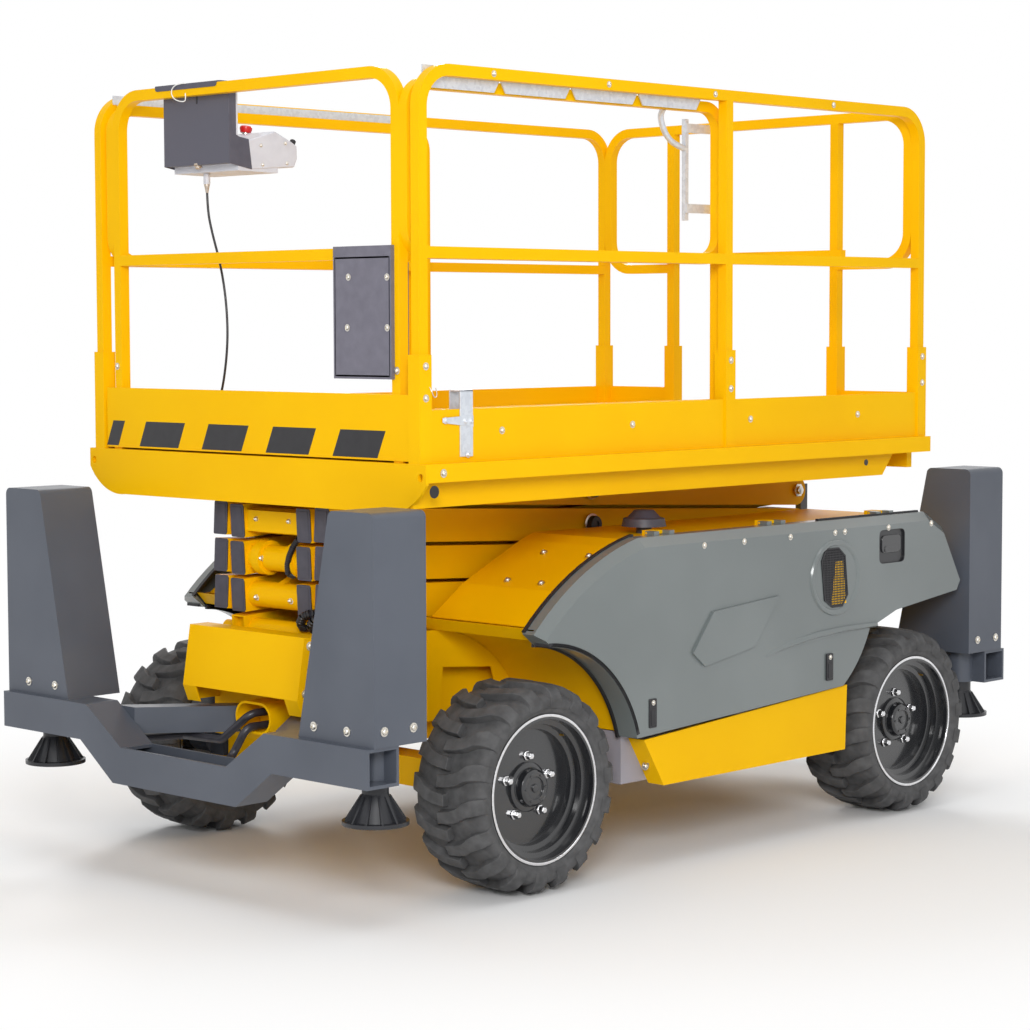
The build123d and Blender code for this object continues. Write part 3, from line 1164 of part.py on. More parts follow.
with BuildPart() as control_cable:
    with BuildLine() as cable_line:
        FilletPolyline(*CABLE_POINTS, radius=cable_radii)
    start = Vector(*CABLE_POINTS[1]) - Vector(*CABLE_POINTS[0])
    with BuildSketch(Plane(origin=CABLE_POINTS[0], z_dir=start)):
        Circle(CABLE_RADIUS)
    sweep()
finish(control_cable, "control_cable", "black")
cable_length = sum(edge.length for edge in cable_line.edges())
section = 3.14159265 * CABLE_RADIUS**2
print("cable length", round(cable_length, 1), "volume ratio", control_cable.part.volume / (section * cable_length))
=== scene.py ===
# %% [markdown]
# # Dressing a rough-terrain scissor lift
# The construction model brings every load-carrying piece at its real size.  This
# lesson adds what the eye reads: paint, rubber, zinc, tread, stripes, bolts and cables.
# Every length is in metres and every piece sits in the construction model's own frame.

# %% Load the construction model
import bpy
import bmesh
from math import cos, hypot, pi, radians, sin
from mathutils import Matrix, Vector


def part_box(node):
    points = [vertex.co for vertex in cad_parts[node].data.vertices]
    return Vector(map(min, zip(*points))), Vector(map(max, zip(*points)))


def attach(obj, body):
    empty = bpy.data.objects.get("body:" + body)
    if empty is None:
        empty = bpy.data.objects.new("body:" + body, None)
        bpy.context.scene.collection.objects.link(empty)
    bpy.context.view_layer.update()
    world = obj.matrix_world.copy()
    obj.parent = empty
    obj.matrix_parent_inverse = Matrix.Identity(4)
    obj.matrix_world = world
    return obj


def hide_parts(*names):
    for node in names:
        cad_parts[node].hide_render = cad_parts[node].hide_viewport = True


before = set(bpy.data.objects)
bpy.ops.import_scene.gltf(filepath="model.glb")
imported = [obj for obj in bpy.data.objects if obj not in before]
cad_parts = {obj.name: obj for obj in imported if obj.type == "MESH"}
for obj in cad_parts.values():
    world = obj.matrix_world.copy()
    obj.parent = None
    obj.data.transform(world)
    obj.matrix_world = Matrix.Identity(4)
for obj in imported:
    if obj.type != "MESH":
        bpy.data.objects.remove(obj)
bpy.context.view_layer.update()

# %% [markdown]
# ## The camera
# The machine is seen from its front left, from about eye height, through a long
# lens, so the far side keeps nearly the size of the near side.  The lens, place
# and roll are the values that make the deck, rails and wheels line up.

# %% Place the camera
# The focal length and the lens centre are in the same unit as the picture's size.
PICTURE_SIZE = 1030
FOCAL_LENGTH = 2624.41
LENS_CENTRE = (500.30, 514.38)
SENSOR_MM = 36.0
AZIMUTH = radians(134.4805)
ELEVATION = radians(4.2064)
ROLL = radians(-0.183)
CAMERA_AT = Vector((6.6736, 6.3983, 1.7721))
camera_data = bpy.data.cameras.new("portrait_camera")
camera_data.sensor_width = SENSOR_MM
camera_data.lens = FOCAL_LENGTH / PICTURE_SIZE * SENSOR_MM
camera_data.shift_x = (PICTURE_SIZE / 2 - LENS_CENTRE[0]) / PICTURE_SIZE
camera_data.shift_y = (LENS_CENTRE[1] - PICTURE_SIZE / 2) / PICTURE_SIZE
camera_data.clip_end = 200.0
camera = bpy.data.objects.new("portrait_camera", camera_data)
bpy.context.scene.collection.objects.link(camera)
back = Vector((sin(AZIMUTH) * cos(ELEVATION), -cos(AZIMUTH) * cos(ELEVATION), sin(ELEVATION)))
right = Vector((cos(AZIMUTH), sin(AZIMUTH), 0.0))
up = back.cross(right)
turned_right = right * cos(ROLL) + up * sin(ROLL)
turned_up = up * cos(ROLL) - right * sin(ROLL)
axes = Matrix((turned_right, turned_up, back)).transposed().to_4x4()
camera.matrix_world = Matrix.Translation(CAMERA_AT) @ axes
bpy.context.scene.camera = camera
bpy.context.scene.view_settings.view_transform = "Standard"
print("lens", round(camera_data.lens, 2), "mm")

# %% [markdown]
# ## The control cable
# One flexible multi-core lead, 8 mm thick, drops from the console's gland to the
# gland on the extension floor.  It is held at both ends, so it hangs in a slack
# bow.  A NURBS spline through a few loose control points gives that lazy line.

# %% Hang the control cable
CABLE_ROUTE = (
    (1.185, -0.330, 2.222),
    (1.185, -0.330, 2.140),
    (1.183, -0.306, 2.056),
    (1.181, -0.276, 1.976),
    (1.180, -0.254, 1.892),
    (1.181, -0.240, 1.806),
    (1.183, -0.235, 1.720),
    (1.186, -0.242, 1.634),
    (1.189, -0.259, 1.550),
    (1.191, -0.290, 1.476),
    (1.191, -0.290, 1.392),
)
CABLE_DIAMETER = 0.008


def cord_curve(name, points, diameter):
    """A smooth round cord that follows its control points."""
    line = bpy.data.curves.new(name, "CURVE")
    line.dimensions = "3D"
    line.bevel_depth = diameter / 2
    line.bevel_resolution = 4
    line.resolution_u = 10
    line.use_fill_caps = True
    spline = line.splines.new("NURBS")
    spline.points.add(len(points) - 1)
    for target, point in zip(spline.points, points):
        target.co = (*point, 1.0)
    spline.order_u = 3
    spline.use_endpoint_u = True
    cord = bpy.data.objects.new(name, line)
    bpy.context.scene.collection.objects.link(cord)
    return cord


control_lead = cord_curve("control_lead", CABLE_ROUTE, CABLE_DIAMETER)
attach(control_lead, "extension")
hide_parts("control_cable")
print("control lead with", len(CABLE_ROUTE), "points")

# %% [markdown]
# ## Small tools
# Colours are written as the sRGB hex values a paint maker would quote, and one
# function turns them into the linear numbers that the shader works with.  A second
# one fills a node's inputs, and a third adds a node with its settings and inputs.

# %% Colour and shader tools
def linear(hex_colour):
    """Linear RGBA for an sRGB hex colour such as F5C205."""
    channels = [int(hex_colour[i:i + 2], 16) / 255 for i in (0, 2, 4)]
    lit = [c / 12.92 if c <= 0.04045 else ((c + 0.055) / 1.055) ** 2.4 for c in channels]
    return (*lit, 1.0)


def fill(tree, item, **inputs):
    """Set a node's inputs to values, or join them to the sockets that feed them.

    An input is named by its socket, or as i0, i1 and so on by its number.
    """
    for key, value in inputs.items():
        numbered = key[0] == "i" and key[1:].isdigit()
        socket = item.inputs[int(key[1:]) if numbered else key.replace("_", " ")]
        if isinstance(value, bpy.types.NodeSocket):
            tree.links.new(value, socket)
        else:
            socket.default_value = value


def add(tree, kind, settings=None, stops=(), **inputs):
    """Add a node with its settings and inputs; stops are a ramp's places and colours."""
    item = tree.nodes.new(kind)
    for key, value in (settings or {}).items():
        setattr(item, key, value)
    for number, (position, colour) in enumerate(stops):
        point = item.color_ramp.elements[number]
        point.position, point.color = position, linear(colour)
    fill(tree, item, **inputs)
    return item


def new_material(name):
    """An empty material with its shader: returns the material, its tree and the shader."""
    finish = bpy.data.materials.new(name)
    finish.use_nodes = True
    tree = finish.node_tree
    return finish, tree, tree.nodes["Principled BSDF"]


print("yellow in linear light", [round(v, 3) for v in linear("F5C205")])

# %% [markdown]
# ## Floor and light
# A studio sweep: a pale floor under one overhead panel and two side panels, in an even
# white room.  The floor turns to plain white away from the machine, but it keeps the
# shadow close in.

# %% Build the floor and the lamps
FLOOR_REACH = 60.0
FADE_START, FADE_END = 1.9, 3.4
ROOM_LIGHT = 0.54
MIDDLE = (0, 0, 1.0)
WHITE = (1, 1, 1, 1)


def seen_directly(tree):
    """1 where the camera looks by itself, in a reflection or through something clear."""
    ray = add(tree, "ShaderNodeLightPath").outputs
    seen = add(tree, "ShaderNodeMath", {"operation": "MAXIMUM"},
               i0=ray["Is Camera Ray"], i1=ray["Is Glossy Ray"])
    seen = add(tree, "ShaderNodeMath", {"operation": "MAXIMUM"},
               i0=seen.outputs[0], i1=ray["Is Transmission Ray"])
    return seen.outputs[0]


def studio_floor():
    """A wide floor that fades from a lit surface to plain white."""
    mesh = bpy.data.meshes.new("studio_floor")
    signs = ((-1, -1), (1, -1), (1, 1), (-1, 1))
    corners = [(x * FLOOR_REACH, y * FLOOR_REACH, 0) for x, y in signs]
    mesh.from_pydata(corners, [], [(0, 1, 2, 3)])
    floor = bpy.data.objects.new("studio_floor", mesh)
    bpy.context.scene.collection.objects.link(floor)
    finish, tree, shader = new_material("studio_floor_paint")
    fill(tree, shader, Base_Color=linear("F4F4F4"), Roughness=0.8)
    place = add(tree, "ShaderNodeNewGeometry")
    distance = add(tree, "ShaderNodeVectorMath", {"operation": "LENGTH"},
                   i0=place.outputs["Position"])
    fade = add(tree, "ShaderNodeMapRange", {"interpolation_type": "SMOOTHSTEP"},
               Value=distance.outputs["Value"], From_Min=FADE_START, From_Max=FADE_END)
    amount = add(tree, "ShaderNodeMath", {"operation": "MULTIPLY"},
                 i0=fade.outputs["Result"], i1=seen_directly(tree))
    white = add(tree, "ShaderNodeEmission", Color=WHITE, Strength=1.0)
    mix = add(tree, "ShaderNodeMixShader", i0=amount.outputs[0], i1=shader.outputs[0],
              i2=white.outputs[0])
    fill(tree, tree.nodes["Material Output"], Surface=mix.outputs[0])
    mesh.materials.append(finish)


def panel_lamp(name, place, aim, size, power):
    """A soft square lamp at place that points at aim."""
    data = bpy.data.lights.new(name, "AREA")
    data.shape = "SQUARE"
    data.size = size
    data.energy = power
    lamp = bpy.data.objects.new(name, data)
    lamp.location = place
    lamp.rotation_euler = (Vector(aim) - Vector(place)).to_track_quat("-Z", "Y").to_euler()
    bpy.context.scene.collection.objects.link(lamp)


def white_world():
    """White where the camera looks, softer where it only lights the machine."""
    world = bpy.data.worlds.new("studio_world")
    bpy.context.scene.world = world
    world.use_nodes = True
    tree = world.node_tree
    strength = add(tree, "ShaderNodeMapRange", Value=seen_directly(tree),
                   To_Min=ROOM_LIGHT, To_Max=1.0)
    fill(tree, tree.nodes["Background"], Color=WHITE, Strength=strength.outputs["Result"])


studio_floor()
white_world()
panel_lamp("overhead_panel", (1.0, 1.0, 9.0), MIDDLE, 6.0, 180)
panel_lamp("key_panel", (7.0, 7.0, 4.2), MIDDLE, 3.0, 560)
panel_lamp("back_panel", (-7.0, -7.0, 5.0), MIDDLE, 3.0, 500)
print("lamps", len(bpy.data.lights))

# %% [markdown]
# ## Yellow machine paint
# Construction machines are sprayed with two-pack polyurethane over primer.  The
# surface is glossy but never quite flat: a fine orange peel about 2 mm across
# breaks up the reflections.  A very slow change of tone keeps large panels alive.

# %% Painted steel
def cells(tree, millimetres):
    """Object coordinates in cells of a real size, so patterns keep their true scale."""
    place = add(tree, "ShaderNodeTexCoord")
    scale = 1000.0 / millimetres
    return add(tree, "ShaderNodeMapping", Vector=place.outputs["Object"],
               Scale=(scale, scale, scale)).outputs[0]


def painted_steel(name, colour, dark, roughness, coat, peel_mm=0.035, specular=0.3):
    """Sprayed paint: slow tone change, a film of uneven gloss, orange peel."""
    finish, tree, shader = new_material(name)
    slow = add(tree, "ShaderNodeTexNoise", Vector=cells(tree, 420), Scale=1.0, Detail=3.0)
    tone = add(tree, "ShaderNodeValToRGB", stops=((0.35, dark), (0.62, colour)),
               Fac=slow.outputs["Fac"])
    film = add(tree, "ShaderNodeTexNoise", Vector=cells(tree, 60), Scale=1.0, Detail=5.0)
    gloss = add(tree, "ShaderNodeMapRange", Value=film.outputs["Fac"],
                To_Min=roughness - 0.04, To_Max=roughness + 0.08)
    peel = add(tree, "ShaderNodeTexNoise", Vector=cells(tree, 2.4), Scale=1.0, Detail=1.0)
    skin = add(tree, "ShaderNodeBump", Height=peel.outputs["Fac"], Strength=1.0,
               Distance=peel_mm / 1000.0)
    fill(tree, shader, Base_Color=tone.outputs["Color"], Roughness=gloss.outputs["Result"],
         Normal=skin.outputs["Normal"], Specular_IOR_Level=specular, Coat_Weight=coat,
         Coat_Roughness=0.08)
    return finish


yellow_paint = painted_steel("yellow_polyurethane_paint", "F3BC03", "F0B702", 0.36, 0.02,
                             specular=0.06)
frame_paint = painted_steel("light_grey_frame_paint", "9A97A0", "929099", 0.45, 0.05)
outrigger_paint = painted_steel("slate_grey_satin_paint", "555A64", "4D525C", 0.38, 0.12)
wheel_paint = painted_steel("gloss_black_wheel_paint", "232427", "1B1C1F", 0.16, 0.8,
                            peel_mm=0.02, specular=0.5)
for finish in (yellow_paint, frame_paint, outrigger_paint, wheel_paint):
    print("painted finish", finish.name)

# %% [markdown]
# ## The hood's glossy skin
# The hoods are moulded in glass-fibre polyester with a grey gel coat, so they are
# smoother and glossier than the sprayed steel.  Inside the handle pocket's outline
# the finish turns black: painted shade for the recess.

# %% Gel-coated hood
POCKET_CENTRE = (-0.930, 0.972)
POCKET_HALF = (0.076, 0.060)
POCKET_POWER = 8.0


def hood_gel_coat():
    """Grey gel coat, painted black in the handle pocket as the recess's shade."""
    finish, tree, shader = new_material("grey_gel_coat")
    slow = add(tree, "ShaderNodeTexNoise", Vector=cells(tree, 500), Scale=1.0, Detail=2.0)
    grey = add(tree, "ShaderNodeValToRGB", stops=((0.35, "676E6E"), (0.65, "707777")),
               Fac=slow.outputs["Fac"])
    place = add(tree, "ShaderNodeTexCoord")
    parts = add(tree, "ShaderNodeSeparateXYZ", i0=place.outputs["Object"])
    # The eighth power of both offsets adds up to 1 along a rounded oblong.
    powers = []
    for axis, centre, half in zip("XZ", POCKET_CENTRE, POCKET_HALF):
        item = parts.outputs[axis]
        for operation, value in (("SUBTRACT", centre), ("DIVIDE", half), ("ABSOLUTE", 0),
                                 ("POWER", POCKET_POWER)):
            item = add(tree, "ShaderNodeMath", {"operation": operation},
                       i0=item, i1=value).outputs[0]
        powers.append(item)
    total = add(tree, "ShaderNodeMath", i0=powers[0], i1=powers[1])
    # Inside the pocket's outline the colour turns black and duller: painted shade for the
    # recess.
    pocket_shade = add(tree, "ShaderNodeMath", {"operation": "LESS_THAN"}, i0=total.outputs[0],
                 i1=1.0)
    # Sockets 6 and 7 are the two colours and output 2 is the mixed colour.
    colour = add(tree, "ShaderNodeMix", {"data_type": "RGBA"}, i0=pocket_shade.outputs[0],
                 i6=grey.outputs["Color"], i7=linear("1B1C20"))
    wave = add(tree, "ShaderNodeTexNoise", Vector=cells(tree, 9), Scale=1.0, Detail=1.0)
    skin = add(tree, "ShaderNodeBump", Height=wave.outputs["Fac"], Strength=1.0,
               Distance=0.05 / 1000.0)
    gloss = add(tree, "ShaderNodeMapRange", Value=pocket_shade.outputs[0], To_Min=0.28, To_Max=0.5)
    fill(tree, shader, Base_Color=colour.outputs[2], Roughness=gloss.outputs["Result"],
         Normal=skin.outputs["Normal"], Coat_Weight=0.5, Coat_Roughness=0.1)
    return finish


gel_coat = hood_gel_coat()
print("hood finish", gel_coat.name)

# %% [markdown]
# ## Rubber and plastic
# Tyres are carbon-black rubber: dull, with a fine grain and paler scuffs where the
# mould's release film stays.  Seals and hoses are smoother.  The arm caps and the
# mushroom cap are grained polyethylene, a warm dark grey.

# %% Rubber and plastic finishes
def moulded(name, colour, dark, roughness, grain_mm, depth_mm, specular=0.5):
    """A moulded rubber or plastic: mottled tone, fine grain, even gloss."""
    finish, tree, shader = new_material(name)
    mottle = add(tree, "ShaderNodeTexNoise", Vector=cells(tree, 35), Scale=1.0, Detail=6.0)
    tone = add(tree, "ShaderNodeValToRGB", stops=((0.3, dark), (0.7, colour)),
               Fac=mottle.outputs["Fac"])
    grain = add(tree, "ShaderNodeTexVoronoi", Vector=cells(tree, grain_mm), Scale=1.0)
    skin = add(tree, "ShaderNodeBump", Height=grain.outputs["Distance"], Strength=0.6,
               Distance=depth_mm / 1000.0)
    wear = add(tree, "ShaderNodeMapRange", Value=mottle.outputs["Fac"],
               To_Min=roughness + 0.08, To_Max=roughness - 0.06)
    fill(tree, shader, Base_Color=tone.outputs["Color"], Roughness=wear.outputs["Result"],
         Normal=skin.outputs["Normal"], Specular_IOR_Level=specular)
    return finish


tyre_rubber = moulded("tyre_tread_rubber", "545455", "404041", 0.72, 2.2, 0.12, 0.4)
seal_rubber = moulded("door_seal_rubber", "232328", "1A1A1E", 0.5, 1.2, 0.03)
hose_rubber = moulded("hydraulic_hose_rubber", "33323A", "232228", 0.38, 1.5, 0.04)
cap_plastic = moulded("grained_cap_plastic", "4A4852", "413F49", 0.5, 1.0, 0.05)
black_plastic = moulded("black_conduit_plastic", "1F1E22", "17161A", 0.35, 1.4, 0.03)
panel_plastic = moulded("dark_panel_plastic", "4F4E5A", "474652", 0.45, 1.0, 0.04)
console_plastic = moulded("console_grey_plastic", "CCCDD4", "C4C5CD", 0.4, 1.0, 0.03)
document_plastic = moulded("document_box_plastic", "6E6C78", "65636F", 0.5, 1.1, 0.05)
red_plastic = moulded("stop_button_red_plastic", "D01A14", "C01410", 0.3, 2.0, 0.01)
CONSOLE_FRONT_X = 1.222


def control_box_plastic():
    """The control box: a pale console whose front panel is dark."""
    finish = moulded("control_box_plastic", "CCCDD4", "C4C5CD", 0.4, 1.0, 0.03)
    tree = finish.node_tree
    shader = tree.nodes["Principled BSDF"]
    pale = shader.inputs["Base Color"].links[0].from_socket
    place = add(tree, "ShaderNodeTexCoord")
    parts = add(tree, "ShaderNodeSeparateXYZ", i0=place.outputs["Object"])
    front = add(tree, "ShaderNodeMath", {"operation": "GREATER_THAN"},
                i0=parts.outputs["X"], i1=CONSOLE_FRONT_X)
    colour = add(tree, "ShaderNodeMix", {"data_type": "RGBA"}, i0=front.outputs[0],
                 i6=pale, i7=linear("4F4E5A"))
    fill(tree, shader, Base_Color=colour.outputs[2])
    return finish


box_plastic = control_box_plastic()
print("finishes so far", len(bpy.data.materials))

# %% [markdown]
# ## Bare and plated metal
# Fasteners are zinc plated, the guide strips are hot-dip galvanised with pale
# crystals called spangle about 12 mm across, the rod is hard chrome and the valve
# stems are brass.  Metals keep the default index; colour and roughness tell them apart.
# The jack legs are painted, and the engine is cast iron under a worn coat.

# %% Metal finishes
def bare_metal(name, colour, dark, roughness, pattern_mm, metallic=1.0):
    """A bare or plated metal with a crystal pattern of a real size."""
    finish, tree, shader = new_material(name)
    crystal = add(tree, "ShaderNodeTexVoronoi", Vector=cells(tree, pattern_mm), Scale=1.0)
    tone = add(tree, "ShaderNodeValToRGB", stops=((0.2, dark), (0.8, colour)),
               Fac=crystal.outputs["Color"])
    film = add(tree, "ShaderNodeTexNoise", Vector=cells(tree, 25), Scale=1.0, Detail=4.0)
    gloss = add(tree, "ShaderNodeMapRange", Value=film.outputs["Fac"],
                To_Min=roughness - 0.06, To_Max=roughness + 0.1)
    fine = add(tree, "ShaderNodeTexNoise", Vector=cells(tree, 1.2), Scale=1.0, Detail=2.0)
    skin = add(tree, "ShaderNodeBump", Height=fine.outputs["Fac"], Strength=1.0,
               Distance=0.01 / 1000.0)
    fill(tree, shader, Base_Color=tone.outputs["Color"], Roughness=gloss.outputs["Result"],
         Normal=skin.outputs["Normal"], Metallic=metallic)
    return finish


galvanised = bare_metal("galvanised_steel", "D6DBE2", "C9CED6", 0.42, 12, 0.5)
zinc = bare_metal("zinc_plated_fastener", "E6E2DA", "CFCAC0", 0.28, 3)
chrome = bare_metal("hard_chrome", "E8E8EA", "DADADC", 0.12, 4)
brass = bare_metal("brass_fitting", "C9A24B", "B58C36", 0.3, 3)
engine_iron = bare_metal("painted_cast_iron", "3A3A3D", "2A2A2D", 0.6, 5, 0.2)
leg_steel = painted_steel("satin_black_leg_paint", "2B2C30", "222326", 0.4, 0.2)
print("finishes so far", len(bpy.data.materials))

# %% [markdown]
# ## Dress the construction pieces
# Each construction piece keeps its shape and gets the finish that the real one
# has.  The table names the finish once, then the pieces that wear it.

# %% Give every construction piece its finish
def dress(finish, *names):
    """Assign one finish to the named construction pieces."""
    for name in names:
        target = bpy.data.objects[name]
        if target.material_slots:
            for holder in target.material_slots:
                holder.material = finish
        else:
            target.data.materials.append(finish)


SIDES = (("left", 1), ("right", -1))
LEVELS = range(1, 5)
ARMS = [f"{kind}_arm_{level}" for kind in ("outer", "inner") for level in LEVELS]
# Columns: wheel, place of its axle along X, side.
WHEELS = (("front_left", 0.86, 1), ("front_right", 0.86, -1),
          ("rear_left", -1.06, 1), ("rear_right", -1.06, -1))
AXLE_Z = 0.33
dress(yellow_paint, "chassis_frame", "deck_bumper", "front_guard", "cowls", "sill_panels",
      "axles", "deck_frame", "side_guardrails", "rear_guardrail", "gate_bar",
      "extension_deck", "extension_rail", "lift_barrel", *ARMS)
dress(frame_paint, "outriggers")
dress(gel_coat, "hood_left", "hood_right")
dress(outrigger_paint, "stabiliser_beams", "jack_housings", "rear_ladder", "knuckle_left",
      "knuckle_right")
for corner, _, _ in WHEELS:
    dress(leg_steel, f"jack_leg_{corner}")
    dress(wheel_paint, f"rim_{corner}")
    dress(tyre_rubber, f"tyre_{corner}")
dress(engine_iron, "engine_block")
dress(galvanised, "rail_guides", "lock_handle")
dress(chrome, "lift_rod")
dress(box_plastic, "control_box")
dress(document_plastic, "document_box")
dress(cap_plastic, "filler_cap")
dress(hose_rubber, "front_hoses")
dress(seal_rubber, "cable_gland")
control_lead.data.materials.append(black_plastic)
print("construction pieces dressed", len(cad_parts))

# %% [markdown]
# ## Making small pieces
# Bolts, seals, caps and plates are separate meshes that ride on the construction
# model.  A few helpers make them: one links a mesh as a named piece, one finishes a
# cord, one adds a turned form, one a flat plate.  A small bevel catches the light.

# %% Helpers for added pieces
BEVEL_ANGLE = radians(35)
CRISP_ANGLE = radians(40)


def place_piece(name, data, finish, body, bevel=0.0, smooth=True):
    """Link a piece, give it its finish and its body."""
    piece = bpy.data.objects.new(name, data)
    bpy.context.scene.collection.objects.link(piece)
    data.materials.append(finish)
    if bevel:
        edge = piece.modifiers.new("soft_edges", "BEVEL")
        edge.width = bevel
        edge.segments = 2
        edge.limit_method = "ANGLE"
        edge.angle_limit = BEVEL_ANGLE
    if smooth:
        data.polygons.foreach_set("use_smooth", [True] * len(data.polygons))
        crease = piece.modifiers.new("crisp_normals", "WEIGHTED_NORMAL")
        crease.keep_sharp = True
    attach(piece, body)


def place_cord(name, points, diameter, finish, body):
    """A round cord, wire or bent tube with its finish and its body."""
    cord = cord_curve(name, points, diameter)
    cord.data.materials.append(finish)
    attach(cord, body)


def mesh_from(name, form):
    """Turn a bmesh into mesh data; its sharper edges stay crisp."""
    bmesh.ops.recalc_face_normals(form, faces=form.faces)
    for edge in form.edges:
        if len(edge.link_faces) == 2 and edge.calc_face_angle() > CRISP_ANGLE:
            edge.smooth = False
    data = bpy.data.meshes.new(name)
    form.to_mesh(data)
    form.free()
    return data


def facing(place, normal):
    """A matrix at place whose Z axis points along normal."""
    turn = Vector(normal).normalized().to_track_quat("Z", "Y").to_matrix().to_4x4()
    return Matrix.Translation(Vector(place)) @ turn


def turned(form, profile, matrix, segments=24):
    """Add a turned form: profile rows of (radius, height) about the matrix's Z axis."""
    rings = []
    for radius, height in profile:
        if radius < 1e-6:
            rings.append([form.verts.new(matrix @ Vector((0, 0, height)))])
            continue
        ring = []
        for k in range(segments):
            angle = 2 * pi * k / segments
            point = Vector((radius * cos(angle), radius * sin(angle), height))
            ring.append(form.verts.new(matrix @ point))
        rings.append(ring)
    for low, high in zip(rings, rings[1:]):
        for k in range(segments):
            n = (k + 1) % segments
            corners = [low[k % len(low)], low[n % len(low)],
                       high[n % len(high)], high[k % len(high)]]
            unique = list(dict.fromkeys(corners))
            if len(unique) > 2:
                form.faces.new(unique)


def slab(form, outline, low, high, place):
    """Add a plate between two depths; place turns (u, v, depth) into a point."""
    bottom = [form.verts.new(place(u, v, low)) for u, v in outline]
    top = [form.verts.new(place(u, v, high)) for u, v in outline]
    form.faces.new(bottom)
    form.faces.new(list(reversed(top)))
    for k in range(len(outline)):
        n = (k + 1) % len(outline)
        form.faces.new((bottom[k], top[k], top[n], bottom[n]))


def on_side(sign):
    """(x, z, depth) on the left or right side; depth runs outward along Y."""
    return lambda x, z, depth: Vector((x, sign * depth, z))


def on_front(y, z, depth):
    """(y, z, depth) on a face that looks forward."""
    return Vector((depth, y, z))


def oblong(u_range, v_range):
    """The outline of a rectangle."""
    (u0, u1), (v0, v1) = u_range, v_range
    return [(u0, v0), (u1, v0), (u1, v1), (u0, v1)]


print("helpers for", len(ARMS), "arms and", len(WHEELS), "wheels")

# %% [markdown]
# ## Fasteners
# The machine is held together with zinc-plated button-head screws and dome
# rivets.  Each is a turned form: washer, dome and a small recess for the key.  All
# the fasteners of one body are one mesh, listed in a table of place, direction and size.

# %% Screws and rivets
def screw(form, place, normal, radius):
    """A washer with a domed head and its key recess."""
    profile = [(radius * 1.45, -0.0004)]
    profile += [(radius * across, radius * height) for across, height in HEAD_PROFILE]
    turned(form, profile, facing(place, normal), 16)


# Shares of the head's radius, from the washer's edge to the bottom of the recess.
HEAD_PROFILE = ((1.45, 0.22), (1, 0.24), (0.94, 0.62), (0.7, 0.88), (0.42, 0.96), (0.36, 0.6),
                (0, 0.6))
LEFT, RIGHT, AHEAD, UP = (0, 1, 0), (0, -1, 0), (1, 0, 0), (0, 0, 1)
SLOPE = (0.46, 0, 0.89)
TOP_RAIL_Y, SOCKET_Y = 0.7855, 0.7925
HOUSING_END_X, HOUSING_SIDE_Y = 1.5955, 0.9005
SMALL, MIDDLING, LARGE = 0.008, 0.009, 0.010
# Columns: body, place, direction, head radius.
SCREWS = [
    ("deck", (1.235, 0.821, 1.322), LEFT, MIDDLING),
    ("deck", (1.235, -0.821, 1.322), RIGHT, MIDDLING),
    ("chassis", (0.635, 0.765, 0.938), SLOPE, MIDDLING),
]
for _, side in SIDES:
    out = (0, side, 0)
    for x, y, z in ((0.465, 0.50, 1.017), (0.465, 0.70, 1.017), (0.635, 0.50, 0.938),
                    (0.635, 0.65, 0.938)):
        SCREWS.append(("chassis", (x, side * y, z), SLOPE, MIDDLING))
    for x, z in ((1.295, 0.765), (1.315, 0.617)):
        SCREWS.append(("chassis", (x, side * 0.2825, z), out, LARGE))
    SCREWS.append(("chassis", (0.335, side * 0.83, 0.333), (0.9, 0, 0.43), LARGE))
    for x in (0.98, 0.462, -0.061, -0.70):
        SCREWS.append(("deck", (x, side * TOP_RAIL_Y, 2.5175), out, 0.007))
    for x in (1.2785, -0.1375, -1.2285):
        for z in (1.640, 1.545):
            SCREWS.append(("deck", (x, side * SOCKET_Y, z), out, SMALL))
    for x in (-0.85, -0.25, 0.35, 0.95):
        SCREWS.append(("deck", (x, side * TOP_RAIL_Y, 1.44), out, SMALL))
    for end in (1, -1):
        # Jack housings carry two screws low on their end faces and two on the skin.
        for y in (0.64, 0.785):
            spot = (end * HOUSING_END_X, side * y, 0.585)
            SCREWS.append(("chassis", spot, (end, 0, 0), LARGE))
        for x in (1.44, 1.556):
            SCREWS.append(("chassis", (end * x, side * HOUSING_SIDE_Y, 0.592), out, LARGE))


def make_screws():
    """One mesh of screws for each body in the table."""
    for body in sorted({row[0] for row in SCREWS}):
        form = bmesh.new()
        for owner, place, normal, radius in SCREWS:
            if owner == body:
                screw(form, place, normal, radius)
        place_piece(f"screws_{body}", mesh_from("screws", form), zinc, body)


make_screws()
RIVETS_X = (0.104, -0.102, -0.349, -0.598, -0.653, -0.908, -1.167)
for side_name, side in SIDES:
    rivet_form = bmesh.new()
    for rivet_x in RIVETS_X:
        screw(rivet_form, (rivet_x, side * 0.8815, 1.039), (0, side, 0), 0.0075)
    place_piece(f"hood_rivets_{side_name}", mesh_from("hood_rivets", rivet_form), zinc,
                f"hood_{side_name}")
print("screws", len(SCREWS))

# %% [markdown]
# ## Off-road tyres
# The tyre is a closed carcass with two rows of deep lugs, set half a pitch apart.
# Each lug starts near the middle, bends back and wraps over the shoulder.  A lug is
# lofted through a few stations, like a rib on a hull, and copied round the tyre, so
# one mesh serves all four wheels.  The shop's mould leaves slightly rounded edges.

# %% Carcass and lugs
LUG_COUNT = 18
TREAD_RADIUS = 0.33
LUG_FLARE = 0.005
MOULD_RADIUS = 0.0022
